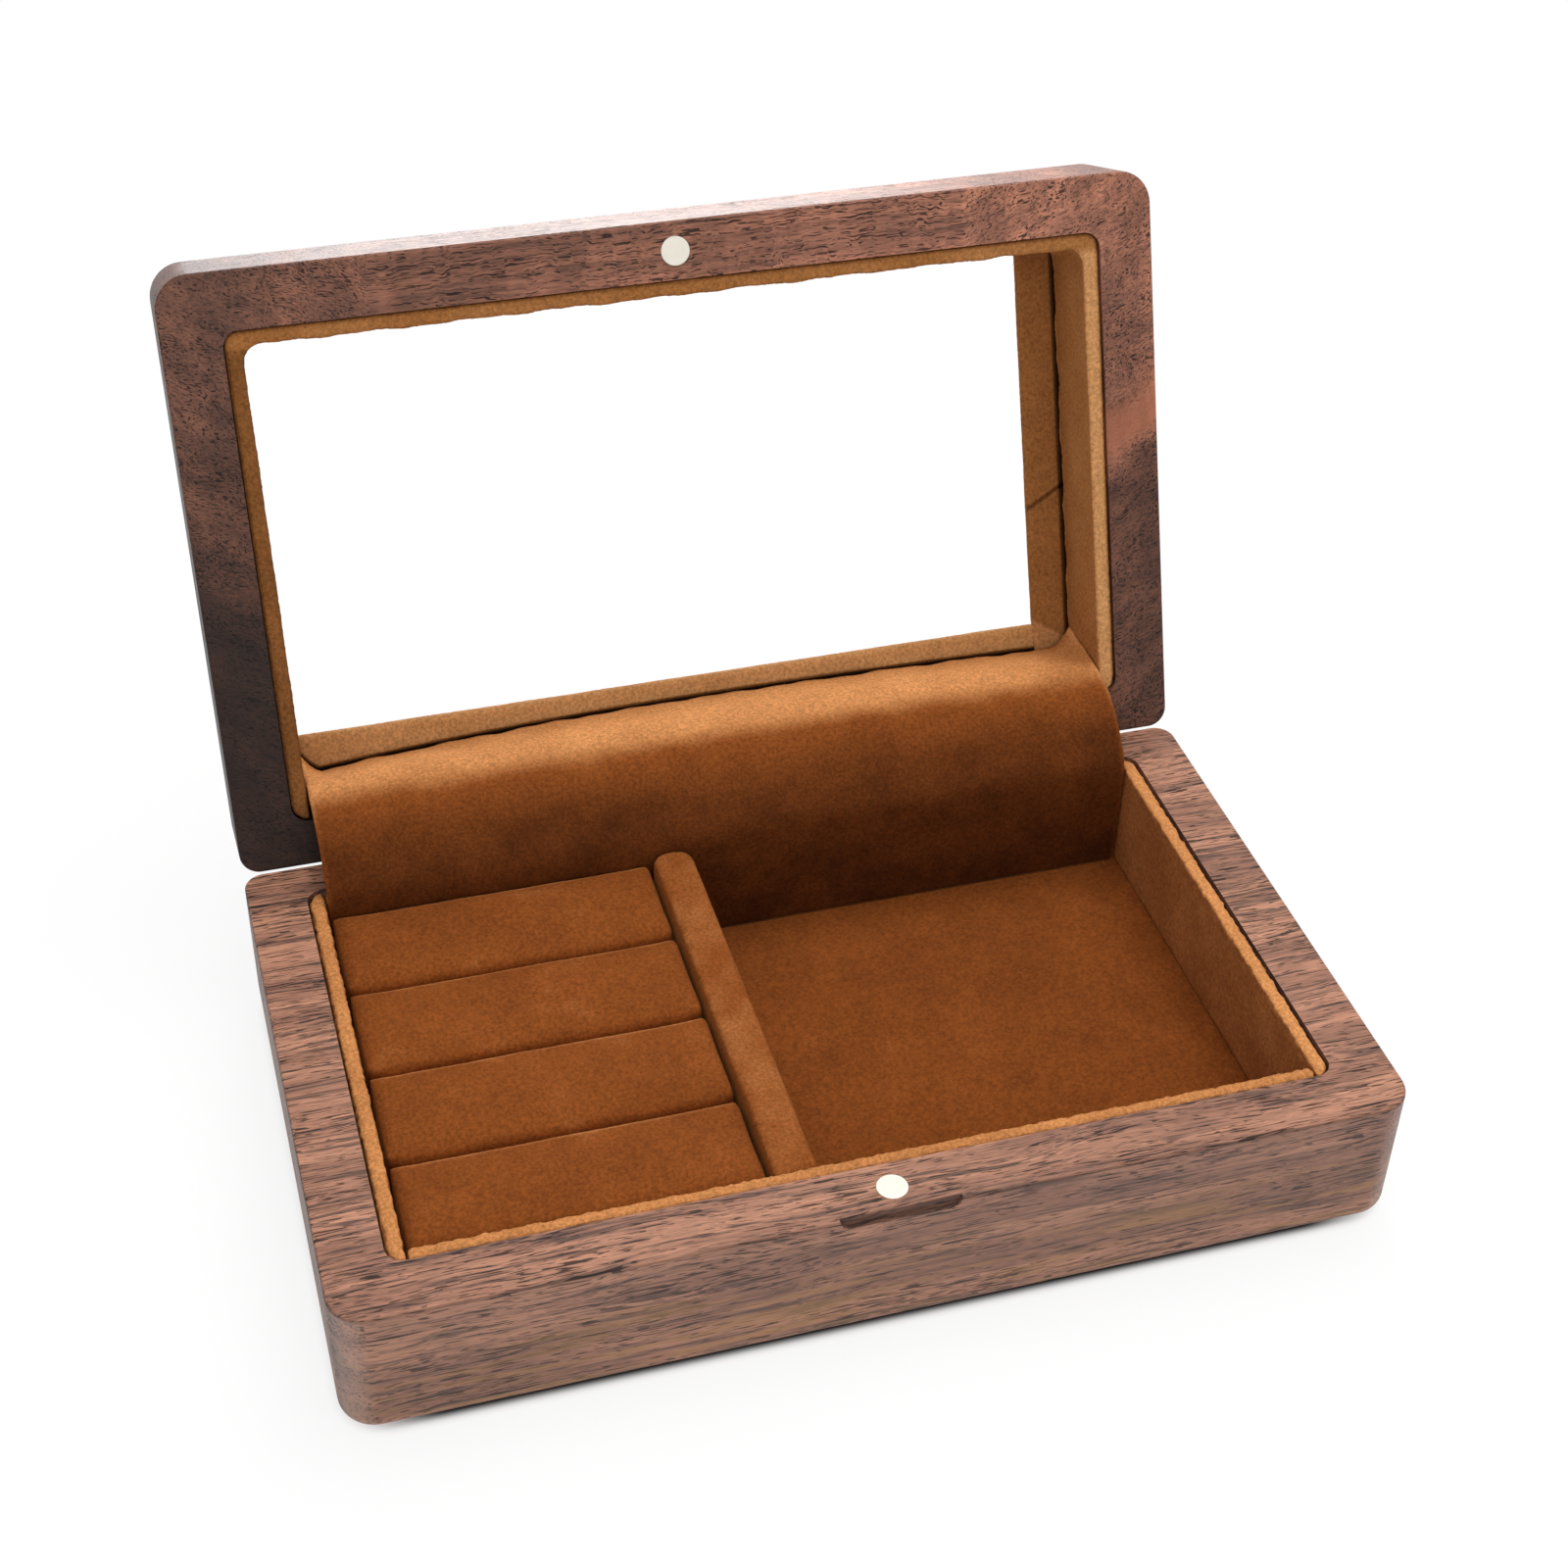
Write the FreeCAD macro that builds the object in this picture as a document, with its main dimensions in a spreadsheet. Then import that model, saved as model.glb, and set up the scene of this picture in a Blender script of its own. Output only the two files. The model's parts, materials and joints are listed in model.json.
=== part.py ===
import FreeCAD, Part
import math
import os
import re
import Sketcher

# Jewellery box of walnut, millimetres. The origin is the middle of the underside of the base,
# +Z is up and the front with the finger nick looks towards -Y. The lid stands open.

doc = FreeCAD.newDocument("jewellery_box")
sheet = doc.addObject("Spreadsheet::Sheet", "sizes")

# Driving sizes: name, value, what it measures. Lengths are in millimetres, angles in degrees.
SIZES = [
    ("box_width", 175.0, "outside width of base and lid"),
    ("box_depth", 104.0, "outside depth of base and lid"),
    ("base_height", 26.0, "underside of the base to its rim"),
    ("lid_height", 22.0, "rim of the lid to its outer face"),
    ("rim_gap", 0.2, "gap between the two rims when the lid is shut"),
    ("open_angle", 110.5, "how far the lid stands open"),
    ("side_wall", 10.0, "walnut wall at the left and right"),
    ("front_wall", 10.0, "walnut wall at the front"),
    ("base_back_wall", 7.0, "walnut wall at the back of the base"),
    ("lid_back_wall", 8.0, "walnut wall at the back of the lid"),
    ("base_floor", 3.0, "walnut left under the hollow of the base"),
    ("front_corner_radius", 6.0, "upright corners at the front"),
    ("back_corner_radius", 3.5, "upright corners at the back"),
    ("pocket_corner_radius", 3.0, "upright corners left by the cutter in both hollows"),
    ("bottom_round", 3.0, "rounding under the base"),
    ("top_round", 3.2, "rounding round the outer face of the lid"),
    ("rim_round", 0.5, "broken edge round both rims"),
    ("nick_width", 19.5, "finger nick, left to right"),
    ("nick_height", 2.0, "finger nick, down from the rim"),
    ("nick_depth", 0.9, "finger nick, into the front face"),
    ("nick_corner_radius", 1.9, "lower corners of the finger nick"),
    ("magnet_diameter", 5.0, "disc magnet"),
    ("magnet_thickness", 3.0, "disc magnet"),
    ("magnet_clearance", 0.05, "magnet to its hole, all round"),
    ("magnet_inset", 5.1, "front face to the middle of a magnet"),
    ("glue_gap", 0.1, "glue line between a fitted piece and its neighbour"),
    ("floor_board", 1.5, "covered floor board"),
    ("side_lining", 3.0, "covered lining boards at the sides"),
    ("base_front_lining", 2.0, "covered lining board at the front of the base"),
    ("base_back_lining", 3.1, "covered lining board at the back of the base"),
    ("lid_front_lining", 3.3, "covered lining board at the front of the lid"),
    ("lid_back_lining", 5.0, "covered lining board at the back of the lid"),
    ("lining_drop", 0.2, "lining edges stop this far short of the rim"),
    ("lining_round", 0.7, "soft edge of the lining boards"),
    ("divider_thickness", 7.4, "covered divider"),
    ("divider_shift", 13.2, "middle of the divider, left of the middle of the box"),
    ("divider_round", 2.0, "top edges of the divider"),
    ("roll_count", 4, "ring rolls"),
    ("roll_gap", 0.4, "slit beside a ring roll"),
    ("roll_drop", 0.8, "top of the ring rolls below the rim"),
    ("roll_shoulder", 5.0, "round shoulder of a ring roll"),
    ("roll_crown", 25.0, "radius of the crown of a ring roll"),
    ("roll_foot_draw", 1.2, "a roll is narrower at its foot by this on each side"),
    ("roll_end_bevel", 1.0, "bevel at the ends of a ring roll"),
    ("lip_thickness", 1.8, "walnut lip that the pane rests against"),
    ("lip_width", 2.5, "how far the lip reaches over the pane"),
    ("window_corner_radius", 2.0, "corners of the window"),
    ("pane_thickness", 2.0, "glass"),
    ("bead_thickness", 1.5, "covered strips that hold the pane"),
    ("bead_left_reach", 0.8, "left strip past its lining"),
    ("bead_right_reach", 6.8, "right strip past its lining"),
    ("bead_front_reach", 1.5, "front strip past its lining"),
    ("bead_back_reach", 4.0, "back strip past the flap"),
    ("bead_round", 0.6, "soft inner edge of the strips"),
    ("hinge_spacing_share", 0.63, "middle of one hinge to the middle of the other, of the box's width"),
    ("hinge_length", 24.0, "hinge along its pin"),
    ("knuckle_count", 3, "knuckles of a hinge"),
    ("leaf_width", 6.0, "pin to the far edge of a leaf"),
    ("leaf_thickness", 0.8, "brass plate"),
    ("knuckle_radius", 1.8, "outside of a knuckle"),
    ("knuckle_gap", 0.3, "between two knuckles"),
    ("knuckle_clearance", 0.4, "a knuckle to the wood and to the other leaf"),
    ("leaf_clearance", 0.1, "a leaf to its mortise"),
    ("pin_radius", 0.9, "hinge pin"),
    ("pin_clearance", 0.05, "pin to its knuckles"),
    ("screw_spacing", 14.0, "between the two screws of a leaf"),
    ("screw_inset", 4.2, "pin to the screws"),
    ("screw_head_radius", 1.5, "countersunk head"),
    ("screw_radius", 0.8, "shank"),
    ("screw_length", 5.5, "shank under the head"),
    ("screw_clearance", 0.05, "screw to its hole"),
    ("flap_thickness", 1.2, "covered strip over the hinges"),
    ("flap_side_gap", 0.3, "flap to the side linings"),
    ("flap_bend_drop", 0.6, "the flap starts to bend this far below the rim"),
    ("flap_first_turn", 45.0, "turn of the flap at the rim of the base"),
    ("flap_bend_radius", 5.9, "inside of the bend at the rim of the base"),
    ("flap_curve_radius", 17.0, "inside of the long curve towards the lid"),
    ("cut_overrun", 1.0, "how far a cut runs past the face it opens"),
]

for row, (alias, value, meaning) in enumerate(SIZES, start=1):
    sheet.set(f"A{row}", meaning)
    sheet.set(f"B{row}", str(value))
    sheet.setAlias(f"B{row}", alias)
doc.recompute()

NAMES = {alias for alias, value, meaning in SIZES}
X_AXIS = FreeCAD.Vector(1, 0, 0)
Y_AXIS = FreeCAD.Vector(0, 1, 0)


def formula(text):
    """Turn the size names in a sum into references to the sheet's cells."""
    return re.sub(r"[a-z]\w+", lambda word: f"sizes.{word[0]}" if word[0] in NAMES else word[0], text)


def amount(text):
    """The value of a sum of sizes, for the shapes that are drawn point by point."""
    return float(sheet.evalExpression(formula(text)))


def bind(thing, place, text):
    """Tie one property to a sum of sizes."""
    thing.setExpression(place, formula(text))


# Places that several pieces share, as sums of sizes. The lid's pieces are drawn shut, in a frame of
# their own whose X axis is the hinge pin, so its rim looks down and its front lies towards -Y.
HINGE_X = "(box_width*hinge_spacing_share/2)"
HINGE_Y = "box_depth/2"
HINGE_Z = "(base_height + rim_gap/2)"
POCKET_X = "(box_width/2 - side_wall)"
INSIDE_X = f"({POCKET_X} - glue_gap - side_lining)"
BASE_POCKET_FRONT = "(front_wall - box_depth/2)"
BASE_POCKET_BACK = "(box_depth/2 - base_back_wall)"
BASE_FLOOR_TOP = "(base_floor + floor_board)"
BASE_LINING_TOP = "(base_height - lining_drop)"
BASE_FRONT_INSIDE = f"({BASE_POCKET_FRONT} + glue_gap + base_front_lining)"
BASE_BACK_INSIDE = f"({BASE_POCKET_BACK} - 2*glue_gap - base_back_lining - flap_thickness)"
LID_RIM = "(rim_gap/2)"
LID_POCKET_FRONT = "(front_wall - box_depth)"
LID_POCKET_BACK = "(0 - lid_back_wall)"
LID_PANE = f"({LID_RIM} + lid_height - lip_thickness - pane_thickness)"
LID_BEAD = f"({LID_PANE} - bead_thickness)"
LID_LINING_START = f"({LID_RIM} + lining_drop)"
LID_FRONT_INSIDE = f"({LID_POCKET_FRONT} + glue_gap + lid_front_lining)"
FLAP_ON_LID = "(lid_back_wall + 2*glue_gap + lid_back_lining + flap_thickness)"
DIVIDER_LEFT = "(0 - divider_shift - divider_thickness/2)"
DIVIDER_RIGHT = "(0 - divider_shift + divider_thickness/2)"

subparts = []


def keep(piece, label):
    """Name a finished piece and put it on the list of pieces."""
    piece.Label = label
    subparts.append(piece)
    return piece


def hang_on_lid(piece, along="0"):
    """Carry a piece that was drawn shut round the hinge pin to the open lid."""
    place_on_pin(piece, along)
    piece.Placement.Rotation = FreeCAD.Rotation(X_AXIS, 0)
    bind(piece, "Placement.Rotation.Angle", "0 - open_angle")


def place_on_pin(piece, along="0"):
    """Set a piece's own X axis on the hinge pin."""
    bind(piece, "Placement.Base.x", along)
    bind(piece, "Placement.Base.y", HINGE_Y)
    bind(piece, "Placement.Base.z", HINGE_Z)


def new_body(label, on_lid=False):
    body = keep(doc.addObject("PartDesign::Body", label), label)
    if on_lid:
        hang_on_lid(body)
    return body


def new_sketch(body, plane, along_x, along_y, level):
    """A sketch on one of the body's own planes, with its origin shifted to a place given by sizes."""
    sketch = body.newObject("Sketcher::SketchObject", "sketch")
    support = [part for part in body.Origin.OriginFeatures if part.Role == plane]
    sketch.AttachmentSupport = (support[0], [""])
    sketch.MapMode = "FlatFace"
    bind(sketch, "AttachmentOffset.Base.x", along_x)
    bind(sketch, "AttachmentOffset.Base.y", along_y)
    bind(sketch, "AttachmentOffset.Base.z", level)
    return sketch


def size_constraint(sketch, constraint, text):
    index = sketch.addConstraint(constraint)
    bind(sketch, f"Constraints[{index}]", text)


def rectangle(body, plane, low, high, level):
    """A rectangle from its low corner to its high corner."""
    sketch = new_sketch(body, plane, low[0], low[1], level)
    corners = [FreeCAD.Vector(*corner, 0) for corner in ((0, 0), (1, 0), (1, 1), (0, 1))]
    for index in range(4):
        sketch.addGeometry(Part.LineSegment(corners[index], corners[(index + 1) % 4]))
    for index in range(4):
        sketch.addConstraint(Sketcher.Constraint("Coincident", index, 2, (index + 1) % 4, 1))
    for index in (0, 2):
        sketch.addConstraint(Sketcher.Constraint("Horizontal", index))
    for index in (1, 3):
        sketch.addConstraint(Sketcher.Constraint("Vertical", index))
    sketch.addConstraint(Sketcher.Constraint("Coincident", 0, 1, -1, 1))
    size_constraint(sketch, Sketcher.Constraint("DistanceX", 0, 1, 0, 2, 1.0), f"({high[0]}) - ({low[0]})")
    size_constraint(sketch, Sketcher.Constraint("DistanceY", 1, 1, 1, 2, 1.0), f"({high[1]}) - ({low[1]})")
    return sketch


def circle(body, plane, centre, radius, level):
    sketch = new_sketch(body, plane, centre[0], centre[1], level)
    sketch.addGeometry(Part.Circle(FreeCAD.Vector(0, 0, 0), FreeCAD.Vector(0, 0, 1), 1))
    sketch.addConstraint(Sketcher.Constraint("Coincident", 0, 3, -1, 1))
    size_constraint(sketch, Sketcher.Constraint("Radius", 0, 1.0), radius)
    return sketch


def pad(body, sketch, length):
    feature = body.newObject("PartDesign::Pad", "pad")
    feature.Profile = sketch
    bind(feature, "Length", length)
    return feature


def pocket(body, sketch, depth, along_normal=False):
    """A cut that has to take wood away: one that points into the air is reported."""
    doc.recompute()
    before = body.Shape.Volume
    feature = body.newObject("PartDesign::Pocket", "pocket")
    feature.Profile = sketch
    feature.Reversed = along_normal
    bind(feature, "Length", depth)
    doc.recompute()
    if not feature.Shape.Volume < before:
        raise RuntimeError(f"a cut in {body.Label} takes nothing away")
    return feature


def edge_feature(body, kind, chosen):
    """A fillet or chamfer on those edges of the body, as it is so far, that the given test picks."""
    doc.recompute()
    base = body.Tip
    edges = [f"Edge{index}" for index, edge in enumerate(base.Shape.Edges, start=1) if chosen(edge)]
    feature = body.newObject(f"PartDesign::{kind}", kind.lower())
    feature.Base = (base, edges)
    return feature


def round_edges(body, chosen, radius):
    bind(edge_feature(body, "Fillet", chosen), "Radius", radius)
    doc.recompute()


def bevel_edges(body, chosen, size):
    bind(edge_feature(body, "Chamfer", chosen), "Size", size)
    doc.recompute()


def near(one, other):
    """Two places that are the same but for rounding errors."""
    return math.isclose(one, other, abs_tol=amount("glue_gap") / 100)


def upright(edge):
    box = edge.BoundBox
    return near(box.XLength, 0) and near(box.YLength, 0)


def upright_at(place):
    """Upright straight edges whose Y is the given place."""
    return lambda edge: upright(edge) and near(edge.BoundBox.YMin, place)


def upright_beside(place):
    """Upright straight edges on the left and right that lie this far from the middle."""
    return lambda edge: upright(edge) and near(abs(edge.BoundBox.XMin), place)


def level_at(height):
    """Edges that lie at one height."""
    return lambda edge: near(edge.BoundBox.ZMin, height) and near(edge.BoundBox.ZMax, height)


def outer_rim(height, front, back):
    """Edges of a rim that lie outside the walls of the hollow, which runs from the front to the back."""
    at_height = level_at(height)
    spare = amount("glue_gap")
    side = amount(POCKET_X) + spare

    def chosen(edge):
        middle = edge.BoundBox.Center
        beyond = abs(middle.x) > side or middle.y < front - spare or middle.y > back + spare
        return at_height(edge) and beyond

    return chosen


def board(label, low, high, on_lid=False):
    """A flat board between two corners."""
    body = new_body(label, on_lid)
    pad(body, rectangle(body, "XY_Plane", low, high, low[2]), f"({high[2]}) - ({low[2]})")
    doc.recompute()
    return body


def fitted_board(label, front, back, bottom, top, on_lid=False):
    """A board that fills the plan of a hollow, with its corners rounded to suit."""
    low = (f"glue_gap - {POCKET_X}", f"{front} + glue_gap", bottom)
    high = (f"{POCKET_X} - glue_gap", f"{back} - glue_gap", top)
    body = board(label, low, high, on_lid)
    round_edges(body, upright, "pocket_corner_radius - glue_gap")
    return body


def fitted_strip(label, side, inside, front, back, bottom, top, on_lid=False):
    """The part of a fitted board along the left (-1) or right (1) wall, as far in as the given place."""
    body = fitted_board(label, front, back, bottom, top, on_lid)
    far = "box_width/2 + cut_overrun"
    spare = [f"0 - ({far})", inside] if side > 0 else [f"0 - {inside}", far]
    low = (spare[0], f"{front} - cut_overrun")
    high = (spare[1], f"{back} + cut_overrun")
    pocket(body, rectangle(body, "XY_Plane", low, high, top), f"({top}) - ({bottom})")
    return body


def soften(body, inner_x, height, radius):
    """Round the long free edge of a strip, at one height and on the side that looks inwards."""
    x_place = amount(inner_x)
    z_place = amount(height)
    at_height = level_at(z_place)
    round_edges(body, lambda edge: at_height(edge) and near(abs(edge.BoundBox.Center.x), x_place)
                and near(edge.BoundBox.XLength, 0), radius)


# Walnut base: a block with its hollow, finger nick, magnet hole and the seats of both hinges.

def hinge_seats(body, back, rim, into_wood, up):
    """Mortises, knuckle clearances and screw holes of both hinges: cut on the right, then mirrored."""
    start = f"{HINGE_X} - hinge_length/2 - leaf_clearance"
    end = f"{HINGE_X} + hinge_length/2 + leaf_clearance"
    mortise = rectangle(body, "XY_Plane", (start, f"{back} - leaf_width - leaf_clearance"),
                        (end, f"{back} + cut_overrun"), rim)
    cuts = [pocket(body, mortise, "leaf_thickness", up)]
    relief = circle(body, "YZ_Plane", (back, into_wood), "knuckle_radius + knuckle_clearance", end)
    cuts.append(pocket(body, relief, f"({end}) - ({start})"))
    for side in ("-", "+"):
        centre = (f"{HINGE_X} {side} screw_spacing/2", f"{back} - screw_inset")
        hole = circle(body, "XY_Plane", centre, "screw_radius + screw_clearance", rim)
        cuts.append(pocket(body, hole, "leaf_thickness + screw_length + screw_clearance", up))
    mirror = body.newObject("PartDesign::Mirrored", "mirror")
    mirror.Originals = cuts
    mirror.MirrorPlane = ([part for part in body.Origin.OriginFeatures if part.Role == "YZ_Plane"][0], [""])
    body.Tip = mirror


def make_base_block():
    body = board("base_block", ("0 - box_width/2", "0 - box_depth/2", "0"),
                 ("box_width/2", "box_depth/2", "base_height"))
    round_edges(body, upright_at(amount("0 - box_depth/2")), "front_corner_radius")
    round_edges(body, upright_at(amount("box_depth/2")), "back_corner_radius")
    round_edges(body, level_at(0), "bottom_round")
    hollow = rectangle(body, "XY_Plane", (f"0 - {POCKET_X}", BASE_POCKET_FRONT),
                       (POCKET_X, BASE_POCKET_BACK), "base_height")
    pocket(body, hollow, "base_height - base_floor")
    round_edges(body, upright_beside(amount(POCKET_X)), "pocket_corner_radius")
    nick = rectangle(body, "XZ_Plane", ("0 - nick_width/2", "base_height - nick_height"),
                     ("nick_width/2", "base_height + cut_overrun"), "box_depth/2")
    pocket(body, nick, "nick_depth")
    inner = amount("nick_width/2")
    nick_floor = level_at(amount("base_height - nick_height"))
    round_edges(body, lambda edge: nick_floor(edge) and near(edge.BoundBox.XLength, 0)
                and near(abs(edge.BoundBox.XMin), inner), "nick_corner_radius")
    rim = outer_rim(amount("base_height"), amount(BASE_POCKET_FRONT), amount(BASE_POCKET_BACK))
    round_edges(body, rim, "rim_round")
    seat = circle(body, "XY_Plane", ("0", "magnet_inset - box_depth/2"),
                  "magnet_diameter/2 + magnet_clearance", "base_height")
    pocket(body, seat, "magnet_thickness + magnet_clearance")
    hinge_seats(body, "box_depth/2", "base_height", HINGE_Z, False)


# Walnut lid: a block with its hollow, the window with its lip, a magnet hole and the seats of both hinges.

def make_lid_frame():
    body = board("lid_frame", ("0 - box_width/2", "0 - box_depth", LID_RIM),
                 ("box_width/2", "0", f"{LID_RIM} + lid_height"), on_lid=True)
    round_edges(body, upright_at(amount("0 - box_depth")), "front_corner_radius")
    round_edges(body, upright_at(0), "back_corner_radius")
    round_edges(body, level_at(amount(f"{LID_RIM} + lid_height")), "top_round")
    hollow = rectangle(body, "XY_Plane", (f"0 - {POCKET_X}", LID_POCKET_FRONT),
                       (POCKET_X, LID_POCKET_BACK), LID_RIM)
    pocket(body, hollow, "lid_height - lip_thickness", True)
    round_edges(body, upright_beside(amount(POCKET_X)), "pocket_corner_radius")
    window = rectangle(body, "XY_Plane", (f"lip_width - {POCKET_X}", f"{LID_POCKET_FRONT} + lip_width"),
                       (f"{POCKET_X} - lip_width", f"{LID_POCKET_BACK} - lip_width"),
                       f"{LID_RIM} + lid_height")
    pocket(body, window, "lip_thickness + cut_overrun")
    round_edges(body, upright_beside(amount(f"{POCKET_X} - lip_width")), "window_corner_radius")
    rim = outer_rim(amount(LID_RIM), amount(LID_POCKET_FRONT), amount(LID_POCKET_BACK))
    round_edges(body, rim, "rim_round")
    seat = circle(body, "XY_Plane", ("0", "magnet_inset - box_depth"),
                  "magnet_diameter/2 + magnet_clearance", LID_RIM)
    pocket(body, seat, "magnet_thickness + magnet_clearance", True)
    hinge_seats(body, "0", LID_RIM, "0", True)


# Disc magnets, flush with the rims.

def make_magnets():
    for label, on_lid, place in (("base_magnet", False, "magnet_inset - box_depth/2"),
                                 ("lid_magnet", True, "magnet_inset - box_depth")):
        body = new_body(label, on_lid)
        level = LID_RIM if on_lid else "base_height - magnet_thickness"
        pad(body, circle(body, "XY_Plane", ("0", place), "magnet_diameter/2", level), "magnet_thickness")


# Covered boards of the base: floor, linings and the divider.

def make_base_linings():
    fitted_board("floor_board", BASE_POCKET_FRONT, BASE_POCKET_BACK, "base_floor", BASE_FLOOR_TOP)
    for label, side in (("base_lining_left", -1), ("base_lining_right", 1)):
        strip = fitted_strip(label, side, INSIDE_X, BASE_POCKET_FRONT, BASE_POCKET_BACK,
                             BASE_FLOOR_TOP, BASE_LINING_TOP)
        soften(strip, INSIDE_X, BASE_LINING_TOP, "lining_round")
    front = board("base_lining_front",
                  (f"glue_gap - {INSIDE_X}", f"{BASE_POCKET_FRONT} + glue_gap", BASE_FLOOR_TOP),
                  (f"{INSIDE_X} - glue_gap", BASE_FRONT_INSIDE, BASE_LINING_TOP))
    inner = amount(BASE_FRONT_INSIDE)
    top = level_at(amount(BASE_LINING_TOP))
    round_edges(front, lambda edge: top(edge) and near(edge.BoundBox.YMin, inner), "lining_round")
    board("base_lining_back",
          (f"glue_gap - {INSIDE_X}", f"{BASE_POCKET_BACK} - glue_gap - base_back_lining", BASE_FLOOR_TOP),
          (f"{INSIDE_X} - glue_gap", f"{BASE_POCKET_BACK} - glue_gap",
           "base_height - flap_bend_drop - glue_gap"))


def make_divider():
    divider = board("divider", (DIVIDER_LEFT, f"{BASE_FRONT_INSIDE} + glue_gap", BASE_FLOOR_TOP),
                    (DIVIDER_RIGHT, f"{BASE_BACK_INSIDE} - glue_gap", BASE_LINING_TOP))
    top = level_at(amount(BASE_LINING_TOP))
    round_edges(divider, lambda edge: top(edge) and near(edge.BoundBox.XLength, 0), "divider_round")


# Ring rolls: foam cushions with a crown, round shoulders and sides that draw in towards the foot.

ROLL_PITCH = f"(({BASE_BACK_INSIDE} - {BASE_FRONT_INSIDE})/roll_count)"
ROLL_HALF = f"({ROLL_PITCH}/2 - roll_gap/2)"
ROLL_HEIGHT = f"(base_height - roll_drop - {BASE_FLOOR_TOP})"


def roll_outline(body, middle, start):
    """A roll seen from its end: flat foot, right side, shoulder, crown, shoulder and left side."""
    half = amount(ROLL_HALF)
    shoulder = amount("roll_shoulder")
    crown = amount("roll_crown")
    foot = half - amount("roll_foot_draw")
    top = amount(ROLL_HEIGHT)
    quarter = math.pi / 2
    slope = math.asin((half - shoulder) / (crown - shoulder))
    shoulder_height = top - crown + (crown - shoulder) * math.cos(slope)

    def spot(along, height):
        return FreeCAD.Vector(along, height, 0)

    def arc(centre, radius, first, last):
        return Part.ArcOfCircle(Part.Circle(centre, FreeCAD.Vector(0, 0, 1), radius), first, last)

    sketch = new_sketch(body, "YZ_Plane", middle, BASE_FLOOR_TOP, start)
    sketch.addGeometry([
        Part.LineSegment(spot(-foot, 0), spot(foot, 0)),
        Part.LineSegment(spot(foot, 0), spot(half, shoulder_height)),
        arc(spot(half - shoulder, shoulder_height), shoulder, 0, quarter - slope),
        arc(spot(0, top - crown), crown, quarter - slope, quarter + slope),
        arc(spot(shoulder - half, shoulder_height), shoulder, quarter + slope, 2 * quarter),
        Part.LineSegment(spot(-half, shoulder_height), spot(-foot, 0)),
    ])
    summit = sketch.addGeometry(Part.Point(spot(0, top)), True)
    for index in range(1, 5):
        sketch.addConstraint(Sketcher.Constraint("Tangent", index, 2, index + 1, 1))
    rules = (
        ("Coincident", 0, 2, 1, 1),
        ("Coincident", 5, 2, 0, 1),
        ("Symmetric", 0, 1, 0, 2, -1, 1),
        ("Horizontal", 0),
        ("Equal", 1, 5),
        ("Equal", 2, 4),
        ("PointOnObject", 3, 3, -2),
        ("PointOnObject", summit, 1, -2),
        ("PointOnObject", summit, 1, 3),
    )
    for rule in rules:
        sketch.addConstraint(Sketcher.Constraint(*rule))
    size_constraint(sketch, Sketcher.Constraint("DistanceX", 0, 1, 0, 2, 2 * foot),
                    f"2*({ROLL_HALF} - roll_foot_draw)")
    size_constraint(sketch, Sketcher.Constraint("DistanceX", 4, 3, 2, 3, 2 * (half - shoulder)),
                    f"2*({ROLL_HALF} - roll_shoulder)")
    size_constraint(sketch, Sketcher.Constraint("Radius", 2, shoulder), "roll_shoulder")
    size_constraint(sketch, Sketcher.Constraint("Radius", 3, crown), "roll_crown")
    size_constraint(sketch, Sketcher.Constraint("DistanceY", -1, 1, summit, 1, top), ROLL_HEIGHT)
    return sketch


def make_ring_rolls():
    start = f"roll_gap - {INSIDE_X}"
    end = f"{DIVIDER_LEFT} - roll_gap"
    for index in range(int(amount("roll_count"))):
        body = new_body(f"ring_roll_{index + 1}")
        middle = f"{BASE_FRONT_INSIDE} + {ROLL_PITCH}*(roll_count - {index} - 1/2)"
        pad(body, roll_outline(body, middle, start), f"({end}) - ({start})")
        bevel_edges(body, lambda edge: near(edge.BoundBox.XLength, 0) and not near(edge.BoundBox.ZLength, 0),
                    "roll_end_bevel")


# Lid fittings: pane, the strips that hold it, and the linings.

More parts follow.
